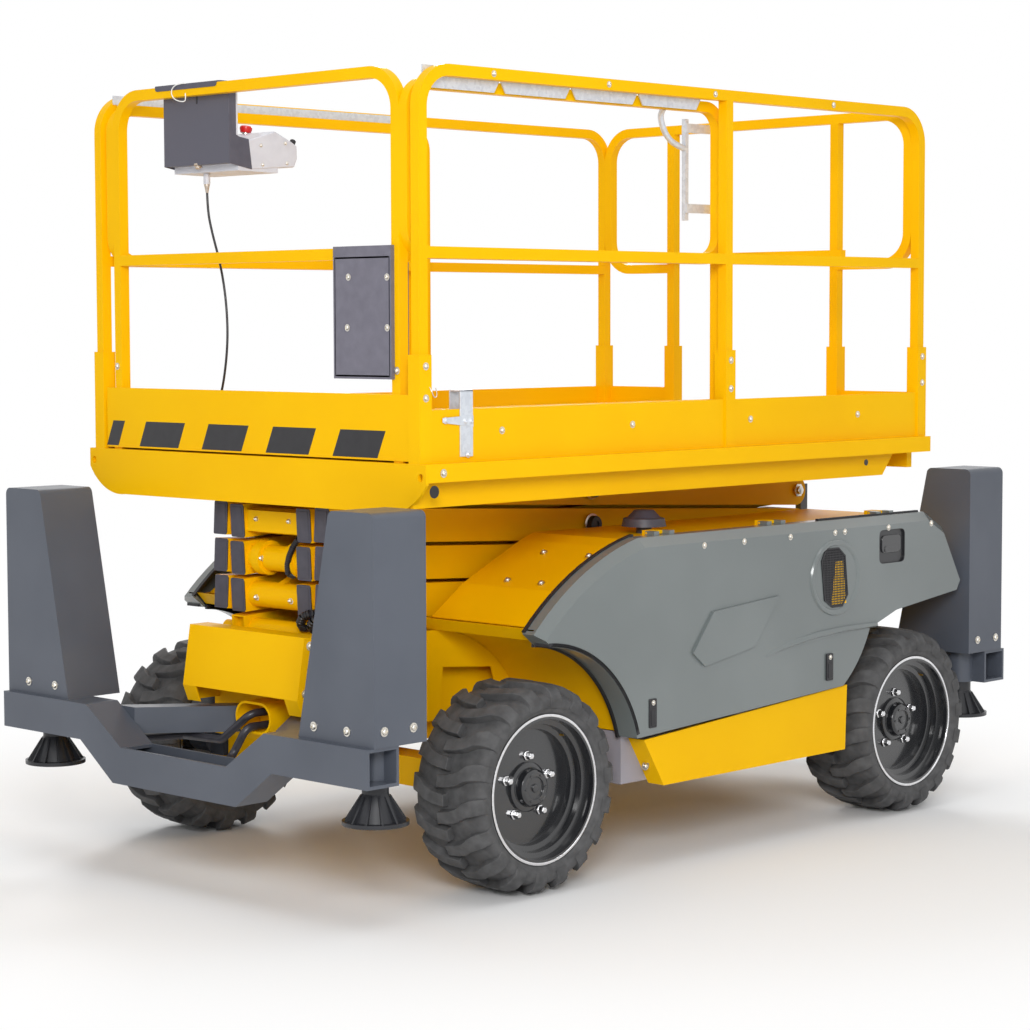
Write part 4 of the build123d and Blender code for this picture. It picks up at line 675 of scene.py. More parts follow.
# Columns: across, along the tread, half breadth, top radius, root radius.
LUG_STATIONS = (
    (-0.016, -0.006, 0.0185, 0.3296, 0.298),
    (0.034, 0.000, 0.0195, 0.3299, 0.298),
    (0.066, 0.010, 0.0215, 0.3294, 0.297),
    (0.096, 0.030, 0.0245, 0.3268, 0.290),
    (0.122, 0.038, 0.0265, 0.3190, 0.280),
    (0.1375, 0.040, 0.0265, 0.3060, 0.270),
    (0.1505, 0.041, 0.0255, 0.2860, 0.262),
    (0.1490, 0.041, 0.0215, 0.2700, 0.256),
)
# Radius and half width from the bead to the middle of the tread.
CARCASS = ((0.236, 0.130), (0.243, 0.138), (0.252, 0.1405), (0.256, 0.1445), (0.262, 0.1455),
           (0.272, 0.1462), (0.284, 0.1420), (0.293, 0.1300), (0.3000, 0.1080),
           (0.3040, 0.070), (0.3055, 0.0))


def tyre_mesh():
    """The carcass and both rows of lugs, about the Y axis."""
    form = bmesh.new()
    profile = [(radius, -across) for radius, across in CARCASS]
    profile += [(radius, across) for radius, across in CARCASS[-2::-1]]
    turned(form, profile, Matrix.Rotation(radians(-90), 4, "X"), 96)
    for _, side in SIDES:
        for number in range(LUG_COUNT):
            start = 2 * pi * (number + (0.5 if side > 0 else 0.0)) / LUG_COUNT
            rings = []
            for across, along, breadth, top, root in LUG_STATIONS:
                ring = []
                wide = breadth + LUG_FLARE
                for radius, reach in ((root, -wide), (top, -breadth),
                                      (top, breadth), (root, wide)):
                    angle = start + (along + reach) / TREAD_RADIUS
                    # On the sidewall the root sinks a little into the carcass.
                    sunk = radius == root and abs(across) > 0.14
                    deep = side * across * (0.985 if sunk else 1.0)
                    ring.append(form.verts.new((radius * cos(angle), deep, radius * sin(angle))))
                rings.append(ring)
            for low, high in zip(rings, rings[1:]):
                for k in range(3):
                    form.faces.new((low[k], low[k + 1], high[k + 1], high[k]))
            form.faces.new(rings[0])
            form.faces.new(rings[-1])
    return mesh_from("lugged_tyre", form)


TYRE_MESH = tyre_mesh()
TYRE_MESH.materials.append(tyre_rubber)
TYRE_MESH.polygons.foreach_set("use_smooth", [True] * len(TYRE_MESH.polygons))
for wheel, _, _ in WHEELS:
    low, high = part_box(f"tyre_{wheel}")
    tyre = bpy.data.objects.new(f"road_tyre_{wheel}", TYRE_MESH)
    bpy.context.scene.collection.objects.link(tyre)
    tyre.location = [(a + b) / 2 for a, b in zip(low, high)]
    edge = tyre.modifiers.new("mould_radius", "BEVEL")
    edge.width = MOULD_RADIUS
    edge.segments = 2
    edge.limit_method = "ANGLE"
    edge.angle_limit = radians(32)
    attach(tyre, f"wheel_{wheel}")
    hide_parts(f"tyre_{wheel}")
print("tyre faces", len(TYRE_MESH.polygons))

# %% [markdown]
# ## Wheel fittings
# Five chromed wheel bolts stand on the disc round a turned black hub with its own
# cap, and a brass valve stem leans out of the dish.

# %% Hubs, wheel bolts and valves
DISC_OUT = 0.802
BOLT_CIRCLE, HUB_CIRCLE = 0.098, 0.044
# Profile rows here and below are radius and height above the face.
HUB_PROFILE = ((0.078, -0.002), (0.078, 0.008), (0.070, 0.012), (0.062, 0.012), (0.058, 0.034),
               (0.050, 0.040), (0.036, 0.040), (0.034, 0.034), (0.014, 0.034), (0.012, 0.040),
               (0, 0.041))
HUB_SCREW = ((0.0045, 0), (0.0045, 0.004), (0, 0.004))
WHEEL_BOLT = ((0.017, 0), (0.017, 0.003), (0.0125, 0.005), (0.0125, 0.019), (0.009, 0.023),
              (0, 0.024))
VALVE_STEM = ((0.007, 0), (0.007, 0.012), (0.0042, 0.016), (0.0042, 0.022), (0.0055, 0.024),
              (0.0055, 0.031), (0, 0.032))
for wheel, axle_x, side in WHEELS:
    out = (0, side, 0)
    body = f"wheel_{wheel}"

    def on_disc(radius, turn, proud):
        """A point on the wheel's face at a share of a full turn."""
        angle = 2 * pi * turn
        return (axle_x + radius * cos(angle), side * (DISC_OUT + proud),
                AXLE_Z + radius * sin(angle))

    hub_form, bolt_form, valve_form = bmesh.new(), bmesh.new(), bmesh.new()
    turned(hub_form, HUB_PROFILE, facing((axle_x, side * (DISC_OUT - 0.002), AXLE_Z), out), 40)
    for k in range(6):
        turned(hub_form, HUB_SCREW, facing(on_disc(HUB_CIRCLE, k / 6, 0.037), out), 6)
    for k in range(5):
        turned(bolt_form, WHEEL_BOLT, facing(on_disc(BOLT_CIRCLE, (k + 0.25) / 5, 0), out), 6)
    valve_at = (axle_x - 0.125, side * (DISC_OUT + 0.002), AXLE_Z + 0.148)
    turned(valve_form, VALVE_STEM, facing(valve_at, (-0.3, side, 0.15)), 12)
    place_piece(f"hub_{wheel}", mesh_from("hub", hub_form), wheel_paint, body,
                0.001)
    place_piece(f"wheel_bolts_{wheel}", mesh_from("wheel_bolts", bolt_form), chrome, body,
                0.0008)
    place_piece(f"valve_{wheel}", mesh_from("valve", valve_form), brass, body)
print("wheel fittings for", len(WHEELS), "wheels")

# %% [markdown]
# ## End caps on the scissor arms
# Every arm is a rectangular tube closed by a pushed-in plastic cap.  The cap is a
# rounded plate with a raised rim.  It leans with its arm by the stowed angle, up for
# the outer arms and down for the inner ones.  The lowest inner arm is an open tube.

# %% Close the arm ends
def rounded(width, height, radius, steps=4):
    """The outline of a rounded rectangle round its centre."""
    corners = ((1, 1, 0), (-1, 1, 90), (-1, -1, 180), (1, -1, 270))
    outline = []
    for across, upward, start in corners:
        for step in range(steps + 1):
            angle = radians(start + 90 * step / steps)
            outline.append((across * (width / 2 - radius) + radius * cos(angle),
                            upward * (height / 2 - radius) + radius * sin(angle)))
    return outline


def shifted(outline, across, upward):
    """The outline moved by (across, upward)."""
    return [(u + across, v + upward) for u, v in outline]


STOWED = radians(3.0)
ARM_SECTION = (0.065, 0.108)
RAISED_RIM = (0.049, 0.092)
OUTER_ARM_Y, INNER_ARM_Y = 0.2475, 0.1625
for arm_name in ARMS:
    if arm_name == "inner_arm_1":
        continue
    low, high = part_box(arm_name)
    outer = arm_name.startswith("outer")
    arm_y = OUTER_ARM_Y if outer else INNER_ARM_Y
    tilt = STOWED if outer else -STOWED
    end_x = high[0] - 0.0035
    half_height = ARM_SECTION[1] / 2
    end_z = high[2] - half_height if outer else low[2] + half_height

    def capped(u, v, depth):
        """A point on the arm's square end: across, up the end, and outward."""
        along = Vector((cos(tilt), 0, sin(tilt)))
        upright = Vector((-sin(tilt), 0, cos(tilt)))
        return Vector((end_x, u, end_z)) + upright * v + along * depth

    cap_form = bmesh.new()
    for _, side in SIDES:
        plate = shifted(rounded(*ARM_SECTION, 0.006), side * arm_y, 0)
        raised = shifted(rounded(*RAISED_RIM, 0.005), side * arm_y, 0)
        slab(cap_form, plate, -0.002, 0.003, capped)
        slab(cap_form, raised, 0.003, 0.0045, capped)
    place_piece(f"end_caps_{arm_name}", mesh_from("end_caps", cap_form), cap_plastic, arm_name,
                0.0008)
print("arm caps on", len(ARMS) - 1, "arms")

# %% [markdown]
# ## Pivot caps
# The middle pins end in a round black cap with a hollow in its centre, held by a
# zinc ring.  They sit where the outer arms cross the inner ones.

# %% Cap the middle pins
PIVOT_X = 0.003
PIN_END_Y = 0.2895
PIVOT_CAP = ((0.029, 0.0), (0.029, 0.020), (0.026, 0.025), (0.012, 0.025), (0.012, 0.021),
             (0, 0.021))
PIVOT_RING = ((0.036, 0.0), (0.036, 0.004), (0.029, 0.006))
for level in LEVELS:
    low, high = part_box(f"outer_arm_{level}")
    pivot_z = (low[2] + high[2]) / 2
    cap_form, ring_form = bmesh.new(), bmesh.new()
    for _, side in SIDES:
        place = facing((PIVOT_X, side * PIN_END_Y, pivot_z), (0, side, 0))
        turned(cap_form, PIVOT_CAP, place, 32)
        turned(ring_form, PIVOT_RING, place, 32)
    place_piece(f"pivot_caps_{level}", mesh_from("pivot_caps", cap_form), black_plastic,
                f"outer_arm_{level}")
    place_piece(f"pivot_rings_{level}", mesh_from("pivot_rings", ring_form), zinc,
                f"outer_arm_{level}")
print("pivot caps at", PIVOT_X)

# %% [markdown]
# ## Warning stripes and platform fittings
# Black stripes lean across the extension's front toe board.  A galvanised strap hooks
# over the left toe board, and each front socket is held by a pin with a wire lanyard.

# %% Stripes, strap and socket pins
STRIPE_SPANS = ((-0.738, -0.675), (-0.561, -0.357), (-0.236, -0.037), (0.082, 0.285),
                (0.397, 0.599))
STRIPE_LEAN = 0.037
STRIPE_LOW, STRIPE_HIGH = 1.362, 1.445
stripe_form = bmesh.new()
for low_y, high_y in STRIPE_SPANS:
    outline = [(low_y, STRIPE_LOW), (high_y, STRIPE_LOW),
               (high_y + STRIPE_LEAN, STRIPE_HIGH), (low_y + STRIPE_LEAN, STRIPE_HIGH)]
    slab(stripe_form, outline, 1.2955, 1.2965, on_front)
place_piece("toe_stripes", mesh_from("toe_stripes", stripe_form), black_plastic, "extension",
            smooth=False)

strap_form = bmesh.new()
STRAP_BACK, STRAP_FRONT = STRAP_X = (1.078, 1.132)
TONGUE_FRONT = STRAP_FRONT + 0.075
# The strap runs down the toe board's outside, over its top edge and down its inside.
slab(strap_form, oblong(STRAP_X, (1.366, 1.566)), 0.7852, 0.7892, on_side(1))
slab(strap_form, oblong(STRAP_X, (1.562, 1.567)), 0.745, 0.7892, on_side(1))
slab(strap_form, oblong(STRAP_X, (1.500, 1.567)), 0.741, 0.745, on_side(1))
slab(strap_form, [(STRAP_BACK, 1.455), (TONGUE_FRONT, 1.470), (TONGUE_FRONT, 1.485),
                  (STRAP_BACK, 1.490)], 0.7892, 0.7912, on_side(1))
for x, z in ((1.113, 1.473), (1.088, 1.472), (1.101, 1.372), (1.195, 1.477)):
    screw(strap_form, (x, 0.7905, z), LEFT, 0.007)
place_piece("toe_board_strap", mesh_from("toe_board_strap", strap_form), galvanised, "deck",
            0.0008)

pin_form = bmesh.new()
for _, side in SIDES:
    screw(pin_form, (1.2905, side * 0.682, 1.626), AHEAD, SMALL)
place_piece("extension_socket_pins", mesh_from("extension_socket_pins", pin_form), zinc,
            "extension")
LANYARD = ((1.262, 0.786, 1.585), (1.262, 0.800, 1.568), (1.252, 0.801, 1.545),
           (1.236, 0.799, 1.552), (1.232, 0.787, 1.575))
for side_name, side in SIDES:
    place_cord(f"socket_lanyard_{side_name}", [(x, side * y, z) for x, y, z in LANYARD], 0.003,
               zinc, "deck")
print("stripes", len(STRIPE_SPANS))

# %% [markdown]
# ## The control station
# The console is a pale moulded cover behind a dark steel panel.  A dark cheek joins
# the two.  On top stand the red stop button and the drive stick.  The lead leaves
# through a nickel gland, and a white tie holds the panel's clamp to the rail.

# %% Build the control station
white_nylon = moulded("white_nylon", "EDEDEA", "E2E2DF", 0.4, 1.5, 0.01)
nickel = bare_metal("nickel_gland", "C9BDB0", "AFA294", 0.35, 2)
COVER_OUTLINE = ((1.160, 2.262), (1.172, 2.357), (1.060, 2.390), (0.985, 2.357), (0.966, 2.346),
                 (0.965, 2.304), (0.978, 2.276))
CHEEK_OUTLINE = ((1.255, 2.508), (1.246, 2.481), (1.238, 2.390), (1.228, 2.373), (1.210, 2.365),
                 (1.172, 2.359), (1.159, 2.263), (1.255, 2.2795))
CLAMP_OUTLINE = ((-0.460, 2.5395), (-0.147, 2.5395), (-0.147, 2.531), (-0.150, 2.5245),
                 (-0.156, 2.522), (-0.450, 2.522), (-0.457, 2.5245), (-0.460, 2.531))
COVER_LEFT, COVER_RIGHT = -0.1335, -0.4555
across = on_side(1)
cover_form, cheek_form = bmesh.new(), bmesh.new()
slab(cover_form, COVER_OUTLINE, COVER_RIGHT, COVER_LEFT, across)
place_piece("console_cover", mesh_from("console_cover", cover_form), console_plastic,
            "extension", 0.004)
for outer_y, inner_y in ((-0.1315, -0.1355), (-0.4635, -0.4595)):
    slab(cheek_form, CHEEK_OUTLINE, inner_y, outer_y, across)
slab(cheek_form, CLAMP_OUTLINE, 1.2895, 1.2930, on_front)
place_piece("console_cheeks", mesh_from("console_cheeks", cheek_form), panel_plastic,
            "extension", 0.001)
print("console cover corners", len(COVER_OUTLINE))

# %% Add the stop button, the switches and the drive stick
STOP_AT = facing((1.131, -0.200, 2.366), (-0.15, 0, 1))
STICK_AT = facing((1.175, -0.225, 2.362), (0.35, 0.25, 1))
STOP_STEM = ((0.016, -0.004), (0.016, 0.004), (0.011, 0.006), (0.011, 0.020))
STOP_HEAD = ((0.010, 0.018), (0.017, 0.019), (0.0205, 0.030), (0.0205, 0.036), (0.017, 0.040),
             (0, 0.041))
TOGGLE = ((0.010, -0.004), (0.010, 0.003), (0.004, 0.004), (0.003, 0.022), (0, 0.023))
DRIVE_STICK = ((0.020, -0.003), (0.019, 0.004), (0.012, 0.010), (0.014, 0.015), (0.008, 0.020),
               (0.009, 0.024), (0.012, 0.040), (0.011, 0.050), (0, 0.053))
KNOB = ((0.010, 0), (0.010, 0.010), (0.007, 0.013), (0, 0.013))
stop_form, switch_form, stick_form = bmesh.new(), bmesh.new(), bmesh.new()
turned(switch_form, STOP_STEM, STOP_AT, 24)
turned(stop_form, STOP_HEAD, STOP_AT, 28)
for y in (-0.27, -0.40):
    turned(switch_form, TOGGLE, facing((1.120, y, 2.372), (-0.15, 0, 1)), 16)
for x, z in ((1.120, 2.341), (1.016, 2.352), (1.114, 2.279), (1.010, 2.288)):
    screw(switch_form, (x, COVER_LEFT, z), LEFT, 0.0045)
    screw(switch_form, (x, COVER_RIGHT, z), RIGHT, 0.0045)
turned(stick_form, DRIVE_STICK, STICK_AT, 24)
turned(stick_form, KNOB, facing((0.977, -0.145, 2.354), (-0.5, 0, 1)), 20)
slab(stick_form, shifted(rounded(0.006, 0.028, 0.0029), -0.291, 2.489), 1.2552, 1.2562, on_front)
place_piece("stop_button", mesh_from("stop_button", stop_form), red_plastic, "extension")
place_piece("console_switches", mesh_from("console_switches", switch_form), zinc, "extension")
place_piece("drive_stick", mesh_from("drive_stick", stick_form), black_plastic, "extension")
print("stop button", STOP_STEM[0][0] * 2000, "mm across its stem")

# %% Add the gland and the rail tie
GLAND = ((0.011, 0.0), (0.011, 0.012), (0.0095, 0.014), (0.0095, 0.038), (0.0075, 0.046),
         (0.0045, 0.062))
NUT = ((0.014, 0.0), (0.014, 0.006), (0.009, 0.007), (0.009, 0.013), (0, 0.013))
gland_form = bmesh.new()
turned(gland_form, GLAND, facing((1.185, -0.330, 2.256), (0, 0, -1)), 20)
turned(gland_form, NUT, facing((1.244, -0.300, 2.281), (0.4, 0, -1)), 6)
place_piece("lead_gland", mesh_from("lead_gland", gland_form), nickel, "extension")
place_cord("rail_tie", (
    (1.2955, -0.300, 2.540), (1.2965, -0.335, 2.541), (1.2985, -0.362, 2.530),
    (1.2990, -0.368, 2.512), (1.2985, -0.356, 2.494), (1.2975, -0.330, 2.484),
    (1.2965, -0.302, 2.481), (1.2965, -0.296, 2.490), (1.2965, -0.298, 2.508)),
    0.0035, white_nylon, "extension")
print("gland sections", len(GLAND))

# %% [markdown]
# ## The document box
# A grey moulded box for the handbook hangs from the middle rail.  The front has a
# raised border below the lid, and four round-headed bolts hold it.

# %% Trim the document box
BOX_FRONT = 1.3035
BORDER_OUT, BORDER_IN = BOX_FRONT + 0.0005, BOX_FRONT - 0.001
BORDER_Y, BORDER_Z = (0.425, 0.662), (1.606, 1.968)
BOX_BOLTS = ((0.484, 1.907), (0.655, 1.905), (0.478, 1.754), (0.655, 1.754))
box_form, box_bolts = bmesh.new(), bmesh.new()
for low_z in (1.962, 1.606):
    slab(box_form, oblong(BORDER_Y, (low_z, low_z + 0.006)), BORDER_IN, BORDER_OUT, on_front)
for low_y in (0.421, 0.662):
    slab(box_form, oblong((low_y, low_y + 0.004), BORDER_Z), BORDER_IN, BORDER_OUT, on_front)
for y, z in BOX_BOLTS:
    screw(box_bolts, (BOX_FRONT, y, z), AHEAD, 0.0075)
place_piece("document_box_border", mesh_from("document_box_border", box_form),
            document_plastic, "extension", 0.0004)
place_piece("document_box_bolts", mesh_from("document_box_bolts", box_bolts), zinc,
            "extension")
print("document box bolts", len(BOX_BOLTS))

# %% [markdown]
# ## The extension lock handle
# A bent tube joins the upright lock handle to the top rail of the sliding cage, so
# that a hand pushing the extension out has a grip ahead of the upright.

# %% Bend the tube of the lock handle
HANDLE_BEND = ((0.105, 0.705, 2.468), (0.100, 0.685, 2.452), (0.088, 0.680, 2.420),
               (0.066, 0.680, 2.383), (0.024, 0.680, 2.354), (-0.028, 0.680, 2.343))
place_cord("lock_handle_bend", HANDLE_BEND, 0.020, galvanised, "extension")
print("lock handle bend with", len(HANDLE_BEND), "points")

# %% [markdown]
# ## Hood seals, latches and handles
# A black rubber seal follows each hood's wheel arch, its front lip and its top rear
# edge.  Two black latches hold the lower edge, and a glossy paddle sits in the pocket.

# %% Shape the hood seals
ARCH_CENTRE = (0.860, 0.330)
ARCH = 0.440
HOOD_FACE = 0.882
# The hood's front edge falls along an arc; the seal follows it from the tip to the top.
LIP_CENTRE = (0.1702, 0.1059)
LIP_RADIUS = hypot(0.400 - LIP_CENTRE[0], 1.080 - LIP_CENTRE[1])
LIP_HALF = 0.004


def on_arc(centre, radius, degrees_up):
    """A point on an arc."""
    angle = radians(degrees_up)
    return (centre[0] + radius * cos(angle), centre[1] + radius * sin(angle))


def arch_strip(form, radii, start, steps, depths, place):
    """Add a strip that follows 72 degrees of the wheel arch between two radii."""
    for step in range(steps):
        corners = []
        for k in (step, step + 1):
            corners += [on_arc(ARCH_CENTRE, radius, start + 72 * k / steps) for radius in radii]
        slab(form, (corners[0], corners[1], corners[3], corners[2]), *depths, place)


LIP_ARC = [on_arc(LIP_CENTRE, LIP_RADIUS, angle) for angle in range(45, 79, 3)]


def seal_mesh(place):
    """The seals of one hood: round the wheel arch, along the top and on the lip."""
    form = bmesh.new()
    arch_strip(form, (ARCH + 0.001, ARCH + 0.013), 92, 36,
               (HOOD_FACE - 0.060, HOOD_FACE + 0.0025), place)
    slab(form, oblong((-1.150, -0.560), (1.0795, 1.0860)), HOOD_FACE - 0.058,
         HOOD_FACE - 0.046, place)
    for first, last in zip(LIP_ARC, LIP_ARC[1:]):
        run_x, run_z = last[0] - first[0], last[1] - first[1]
        share = LIP_HALF / hypot(run_x, run_z)
        lift_x, lift_z = run_z * share, -run_x * share
        strip = [(first[0] - lift_x, first[1] - lift_z), (last[0] - lift_x, last[1] - lift_z),
                 (last[0] + lift_x, last[1] + lift_z), (first[0] + lift_x, first[1] + lift_z)]
        slab(form, strip, HOOD_FACE - 0.083, HOOD_FACE - 0.068, place)
    bmesh.ops.remove_doubles(form, verts=form.verts, dist=0.0001)
    return mesh_from("hood_seal", form)


print("lip seal steps", len(LIP_ARC) - 1)

# %% Place the seals, latches and paddles
LATCHES = ((0.361, 0.548), (-0.569, 0.608))
for side_name, side in SIDES:
    flat = on_side(side)
    body = f"hood_{side_name}"
    latch_form, latch_bolts, paddle_form = bmesh.new(), bmesh.new(), bmesh.new()
    for latch_x, latch_z in LATCHES:
        slab(latch_form, shifted(rounded(0.036, 0.094, 0.004), latch_x, latch_z - 0.034),
             HOOD_FACE - 0.002, HOOD_FACE + 0.004, flat)
        slab(latch_form, shifted(rounded(0.022, 0.054, 0.003), latch_x, latch_z - 0.046),
             HOOD_FACE, HOOD_FACE + 0.006, flat)
        screw(latch_bolts, (latch_x, side * (HOOD_FACE + 0.004), latch_z), (0, side, 0), 0.006)
    slab(paddle_form, shifted(rounded(0.112, 0.062, 0.016), -0.930, 0.980),
         HOOD_FACE - 0.009, HOOD_FACE - 0.002, flat)
    slab(paddle_form, shifted(rounded(0.086, 0.022, 0.009), -0.930, 0.962),
         HOOD_FACE - 0.003, HOOD_FACE + 0.001, flat)
    place_piece(f"hood_seal_{side_name}", seal_mesh(flat), seal_rubber, body)
    place_piece(f"hood_latches_{side_name}", mesh_from("hood_latches", latch_form),
                black_plastic, body, 0.0015)
    place_piece(f"hood_paddle_{side_name}", mesh_from("hood_paddle", paddle_form),
                wheel_paint, body, 0.002)
    place_piece(f"hood_latch_bolts_{side_name}", mesh_from("hood_latch_bolts", latch_bolts),
                zinc, body)
print("latches on each hood", len(LATCHES))

# %% [markdown]
# ## Ladder grips and blind holes
# The rear ladder's rungs carry raised grips.  Black discs on the deck's side beams
# are painted shade for the inside of blind holes.

# %% Ladder grips and painted hole shade
RUNGS, GRIPS = 3, 9
GRIP = ((0.007, 0), (0.0055, 0.003), (0, 0.003))
BEAM_SIDE_Y = 0.8205
low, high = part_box("rear_ladder")
grip_form, hole_shade_form = bmesh.new(), bmesh.new()
for rung in range(RUNGS):
    rung_z = low[2] + 0.012 + rung * (high[2] - low[2] - 0.05) / (RUNGS - 1)
    for k in range(GRIPS):
        spot = (low[0] + 0.014, -0.16 + 0.04 * k, rung_z + 0.012)
        turned(grip_form, GRIP, facing(spot, UP), 8)
place_piece("ladder_grips", mesh_from("ladder_grips", grip_form), outrigger_paint, "chassis")
# Black discs: painted shade for the dark inside of blind holes.
for _, side in SIDES:
    for x, z, radius in ((1.272, 1.268, 0.019), (-0.856, 1.270, 0.011)):
        turned(hole_shade_form, ((radius, -0.001), (radius, 0.0004), (0, 0.0004)),
               facing((x, side * BEAM_SIDE_Y, z), (0, side, 0)), 32)
place_piece("beam_hole_shade", mesh_from("beam_hole_shade", hole_shade_form), black_plastic, "deck")
print("ladder grips", RUNGS * GRIPS)

# %% [markdown]
# ## The oval vent and the crease
# Each hood carries an oval moulding with a slanted slot.  A perforated black plate
# fills the slot and a yellow guard shows through it.  Behind them a solid black plate
# is painted shade for the dark inside of the hood.  Lower down a crease rises out of
# the flat skin and grows towards the rear wheel, so its two edges catch the light.

# %% Shape the vents
VENT = (-0.592, 0.883)
VENT_CORNERS = ((0.050, 0.104), (-0.024, 0.104), (-0.062, 0.074), (-0.078, -0.064),
                (-0.046, -0.104), (0.012, -0.104), (0.056, -0.076), (0.074, 0.062))
VENT_OUTLINE = [(VENT[0] + x, VENT[1] + z) for x, z in VENT_CORNERS]
VENT_EDGES = list(zip(VENT_OUTLINE, VENT_OUTLINE[1:] + VENT_OUTLINE[:1]))
GUARD_SHAPE = ((-0.601, 0.940), (-0.640, 0.940), (-0.662, 0.790), (-0.577, 0.790))
HOLE_PITCH, BAR_HALF = 0.0085, 0.0016
OVAL = (-0.602, 0.883)
OVAL_STEPS = 72
# Columns: half width, half height, height over the skin, from the inside out.
OVAL_ROWS = ((0.119, 0.110, -0.0010), (0.124, 0.115, 0.0040), (0.130, 0.121, 0.0065),
             (0.138, 0.129, 0.0060), (0.143, 0.134, -0.0010))


def crossings(edges, level, axis):
    """Where an outline's edges cross one level of an axis, sorted."""
    found = []
    for first, last in edges:
        low, high = first[axis] - level, last[axis] - level
        if low * high < 0:
            share = low / (low - high)
            found.append(first[1 - axis] + share * (last[1 - axis] - first[1 - axis]))
    return sorted(found)


def vent_mesh(form, place):
    """Level and upright bars across the slot, and the slot's own frame."""
    for axis in (1, 0):
        levels = [corner[axis] for corner in VENT_OUTLINE]
        proud = HOOD_FACE + 0.0018 + 0.0003 * axis
        for step in range(1, int((max(levels) - min(levels)) / HOLE_PITCH)):
            level = min(levels) + step * HOLE_PITCH
            ends = crossings(VENT_EDGES, level, axis)
            if len(ends) == 2:
                width = (level - BAR_HALF, level + BAR_HALF)
                bar = oblong(ends, width) if axis else oblong(width, ends)
                slab(form, bar, proud, proud + 0.0008, place)
    for first, last in VENT_EDGES:
        inner = [(VENT[0] + (x - VENT[0]) * 0.93, VENT[1] + (z - VENT[1]) * 0.95)
                 for x, z in (last, first)]
        slab(form, [first, last, *inner], HOOD_FACE - 0.0010, HOOD_FACE + 0.0036, place)


def oval_moulding(place):
    """The raised oval ring round the slot."""
    form = bmesh.new()
    turns = [2 * pi * k / OVAL_STEPS for k in range(OVAL_STEPS)]
    rows = [[form.verts.new(place(OVAL[0] + half_x * cos(turn), OVAL[1] + half_z * sin(turn),
                                  HOOD_FACE + height)) for turn in turns]
            for half_x, half_z, height in OVAL_ROWS]
    for low, high in zip(rows, rows[1:]):
        for k in range(OVAL_STEPS):
            n = (k + 1) % OVAL_STEPS
            form.faces.new((low[k], low[n], high[n], high[k]))
    return mesh_from("vent_moulding", form)


print("vent corners", len(VENT_OUTLINE))

# %% Shape the crease
# Columns: top corner, low corner, height over the skin.
CREASE = (((-0.228, 0.652), (-0.217, 0.640), 0.0003), ((-0.351, 0.680), (-0.351, 0.664), 0.0035),
          ((-0.498, 0.702), (-0.498, 0.682), 0.0060), ((-0.665, 0.709), (-0.665, 0.691), 0.0075),
          ((-0.836, 0.707), (-0.839, 0.692), 0.0080))


def crease_mesh(place):
    """The crease's sections joined one to the next, with a closed rear end."""
    form = bmesh.new()
    rows = []
    for (top_x, top_z), (low_x, low_z), rise in CREASE:
        section = ((top_x, top_z + 0.004, -0.001), (top_x, top_z, rise),
                   (low_x, low_z + 0.004, rise), (low_x, low_z, rise * 0.4),
                   (low_x, low_z - 0.004, -0.008))
        rows.append([form.verts.new(place(x, z, HOOD_FACE + height))
                     for x, z, height in section])
    for low, high in zip(rows, rows[1:]):
        for k in range(4):
            form.faces.new((low[k], low[k + 1], high[k + 1], high[k]))
    form.faces.new(rows[-1])
    return mesh_from("hood_crease", form)


print("crease sections", len(CREASE))

# %% Place the vents and creases
for side_name, side in SIDES:
    flat = on_side(side)
    body = f"hood_{side_name}"
    mesh_form, shade_back_form, guard_form = bmesh.new(), bmesh.new(), bmesh.new()
    vent_mesh(mesh_form, flat)
    # A solid black plate behind the bars: painted shade for the hood's dark inside.
    slab(shade_back_form, VENT_OUTLINE, HOOD_FACE - 0.0010, HOOD_FACE + 0.0006, flat)
    slab(guard_form, GUARD_SHAPE, HOOD_FACE + 0.0004, HOOD_FACE + 0.0013, flat)
    place_piece(f"vent_mesh_{side_name}", mesh_from("vent_mesh", mesh_form), black_plastic,
                body)
    place_piece(f"vent_shade_back_{side_name}", mesh_from("vent_shade_back", shade_back_form), black_plastic,
                body)
    place_piece(f"vent_guard_{side_name}", mesh_from("vent_guard", guard_form), yellow_paint,
                body)
    place_piece(f"vent_moulding_{side_name}", oval_moulding(flat), gel_coat, body)
    place_piece(f"hood_crease_{side_name}", crease_mesh(flat), gel_coat, body)
print("pieces on each vent", 5)

# %% [markdown]
# ## Hoses and bolts among the arms
# A corrugated conduit hangs over the third cross tube and a pair leaves the frame
# behind the guard.  Each is a row of beads on a path, so the ribs are real.
# Grease bolts close the ends of the cross tubes.

# %% Corrugated conduits and cross-tube bolts
CONDUITS = (
    ("upper_conduit", "inner_arm_3", 0.010, (
        (1.160, 0.130, 1.092), (1.203, 0.126, 1.083), (1.212, 0.112, 1.060),
        (1.214, 0.096, 1.030), (1.212, 0.084, 1.000), (1.204, 0.078, 0.972),
        (1.180, 0.078, 0.962))),
    ("lower_conduit", "chassis", 0.015, (
        (1.150, 0.150, 0.800), (1.205, 0.150, 0.806), (1.224, 0.158, 0.822),
        (1.226, 0.172, 0.842), (1.215, 0.196, 0.852), (1.160, 0.215, 0.850))),
    ("lower_conduit_pair", "chassis", 0.015, (
        (1.150, 0.196, 0.796), (1.200, 0.196, 0.800), (1.222, 0.204, 0.816),
        (1.222, 0.218, 0.832), (1.205, 0.232, 0.842), (1.160, 0.238, 0.840))),
)
TUBE_BOLT = ((0.012, -0.004), (0.012, 0.002), (0.008, 0.003), (0.008, 0.009), (0.005, 0.011),
             (0.003, 0.014), (0, 0.014))


def along_path(points, spacing):
    """Evenly spaced places and directions along a path of straight runs."""
    places = []
    left = 0.0
    for first, last in zip(points, points[1:]):
        start, run = Vector(first), Vector(last) - Vector(first)
        while left <= run.length:
            places.append((start + run.normalized() * left, run.normalized()))
            left += spacing
        left -= run.length
    return places


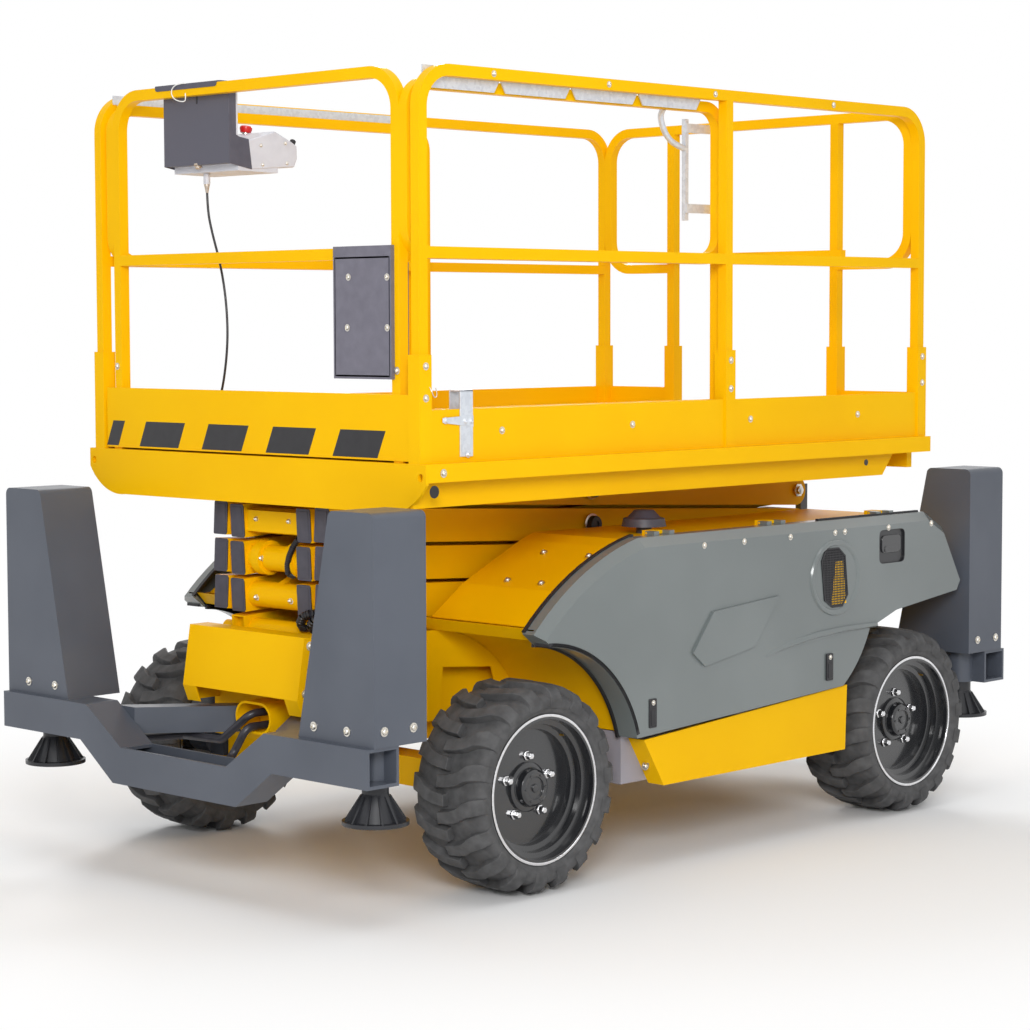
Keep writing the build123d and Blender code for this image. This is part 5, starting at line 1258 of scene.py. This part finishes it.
for conduit_name, body, radius, points in CONDUITS:
    form = bmesh.new()
    spacing = radius * 0.62
    rib = ((radius * 0.80, -spacing * 0.6), (radius, -spacing * 0.28), (radius, spacing * 0.28),
           (radius * 0.80, spacing * 0.6))
    for spot, direction in along_path(points, spacing):
        turned(form, rib, facing(spot, direction), 14)
    place_piece(conduit_name, mesh_from(conduit_name, form), black_plastic, body)
for level, bolt_y, bolt_z in ((2, 0.084, 0.885), (3, 0.059, 1.013), (4, 0.080, 1.139)):
    bolt_form = bmesh.new()
    for _, side in SIDES:
        turned(bolt_form, TUBE_BOLT, facing((1.196, side * bolt_y, bolt_z), AHEAD), 6)
    place_piece(f"tube_bolts_{level}", mesh_from("tube_bolts", bolt_form), zinc,
                f"inner_arm_{level}")
print("conduits", len(CONDUITS))

# %% [markdown]
# ## Rim edges and arch gaps
# A chrome ring on the outer bead seat of each rim is a painted highlight: it stands
# for the bright ring that light makes on the gloss black paint.  A black rubber sheet
# in the gap between each hood and the arch wall is painted shade for that gap.  The
# upper rear pins end in bolts with wide washers.

# %% Rim highlight rings, painted gap shade and rear pin bolts
RIM_HIGHLIGHT_RING = ((0.2345, -0.010), (0.2345, 0.0005), (0.2305, 0.0020), (0.2265, 0.0010),
            (0.2225, -0.006))
REAR_PIN_BOLT = ((0.026, 0.0), (0.026, 0.003), (0.017, 0.004), (0.017, 0.012), (0.014, 0.014),
                 (0, 0.014))
# A chrome ring on each rim's outer edge: a painted highlight for the gloss paint's bright ring.
for wheel, axle_x, side in WHEELS:
    highlight_ring_form = bmesh.new()
    turned(highlight_ring_form, RIM_HIGHLIGHT_RING, facing((axle_x, side * 0.880, AXLE_Z), (0, side, 0)), 96)
    place_piece(f"rim_highlight_ring_{wheel}", mesh_from("rim_highlight_ring", highlight_ring_form), chrome,
                f"wheel_{wheel}")
# A black rubber sheet in the gap between hood and arch wall: painted shade for the gap.
for side_name, side in SIDES:
    gap_shade_form = bmesh.new()
    arch_strip(gap_shade_form, (ARCH - 0.006, ARCH + 0.010), 94, 30, (0.792, 0.803), on_side(side))
    bmesh.ops.remove_doubles(gap_shade_form, verts=gap_shade_form.verts, dist=0.0001)
    place_piece(f"arch_gap_shade_{side_name}", mesh_from("arch_gap_shade", gap_shade_form), seal_rubber,
                "chassis")
pin_form = bmesh.new()
for _, side in SIDES:
    turned(pin_form, REAR_PIN_BOLT, facing((-1.150, side * PIN_END_Y, 1.135), (0, side, 0)), 6)
place_piece("rear_pin_bolts", mesh_from("rear_pin_bolts", pin_form), zinc, "outer_arm_4")
print("rim edges", len(WHEELS))
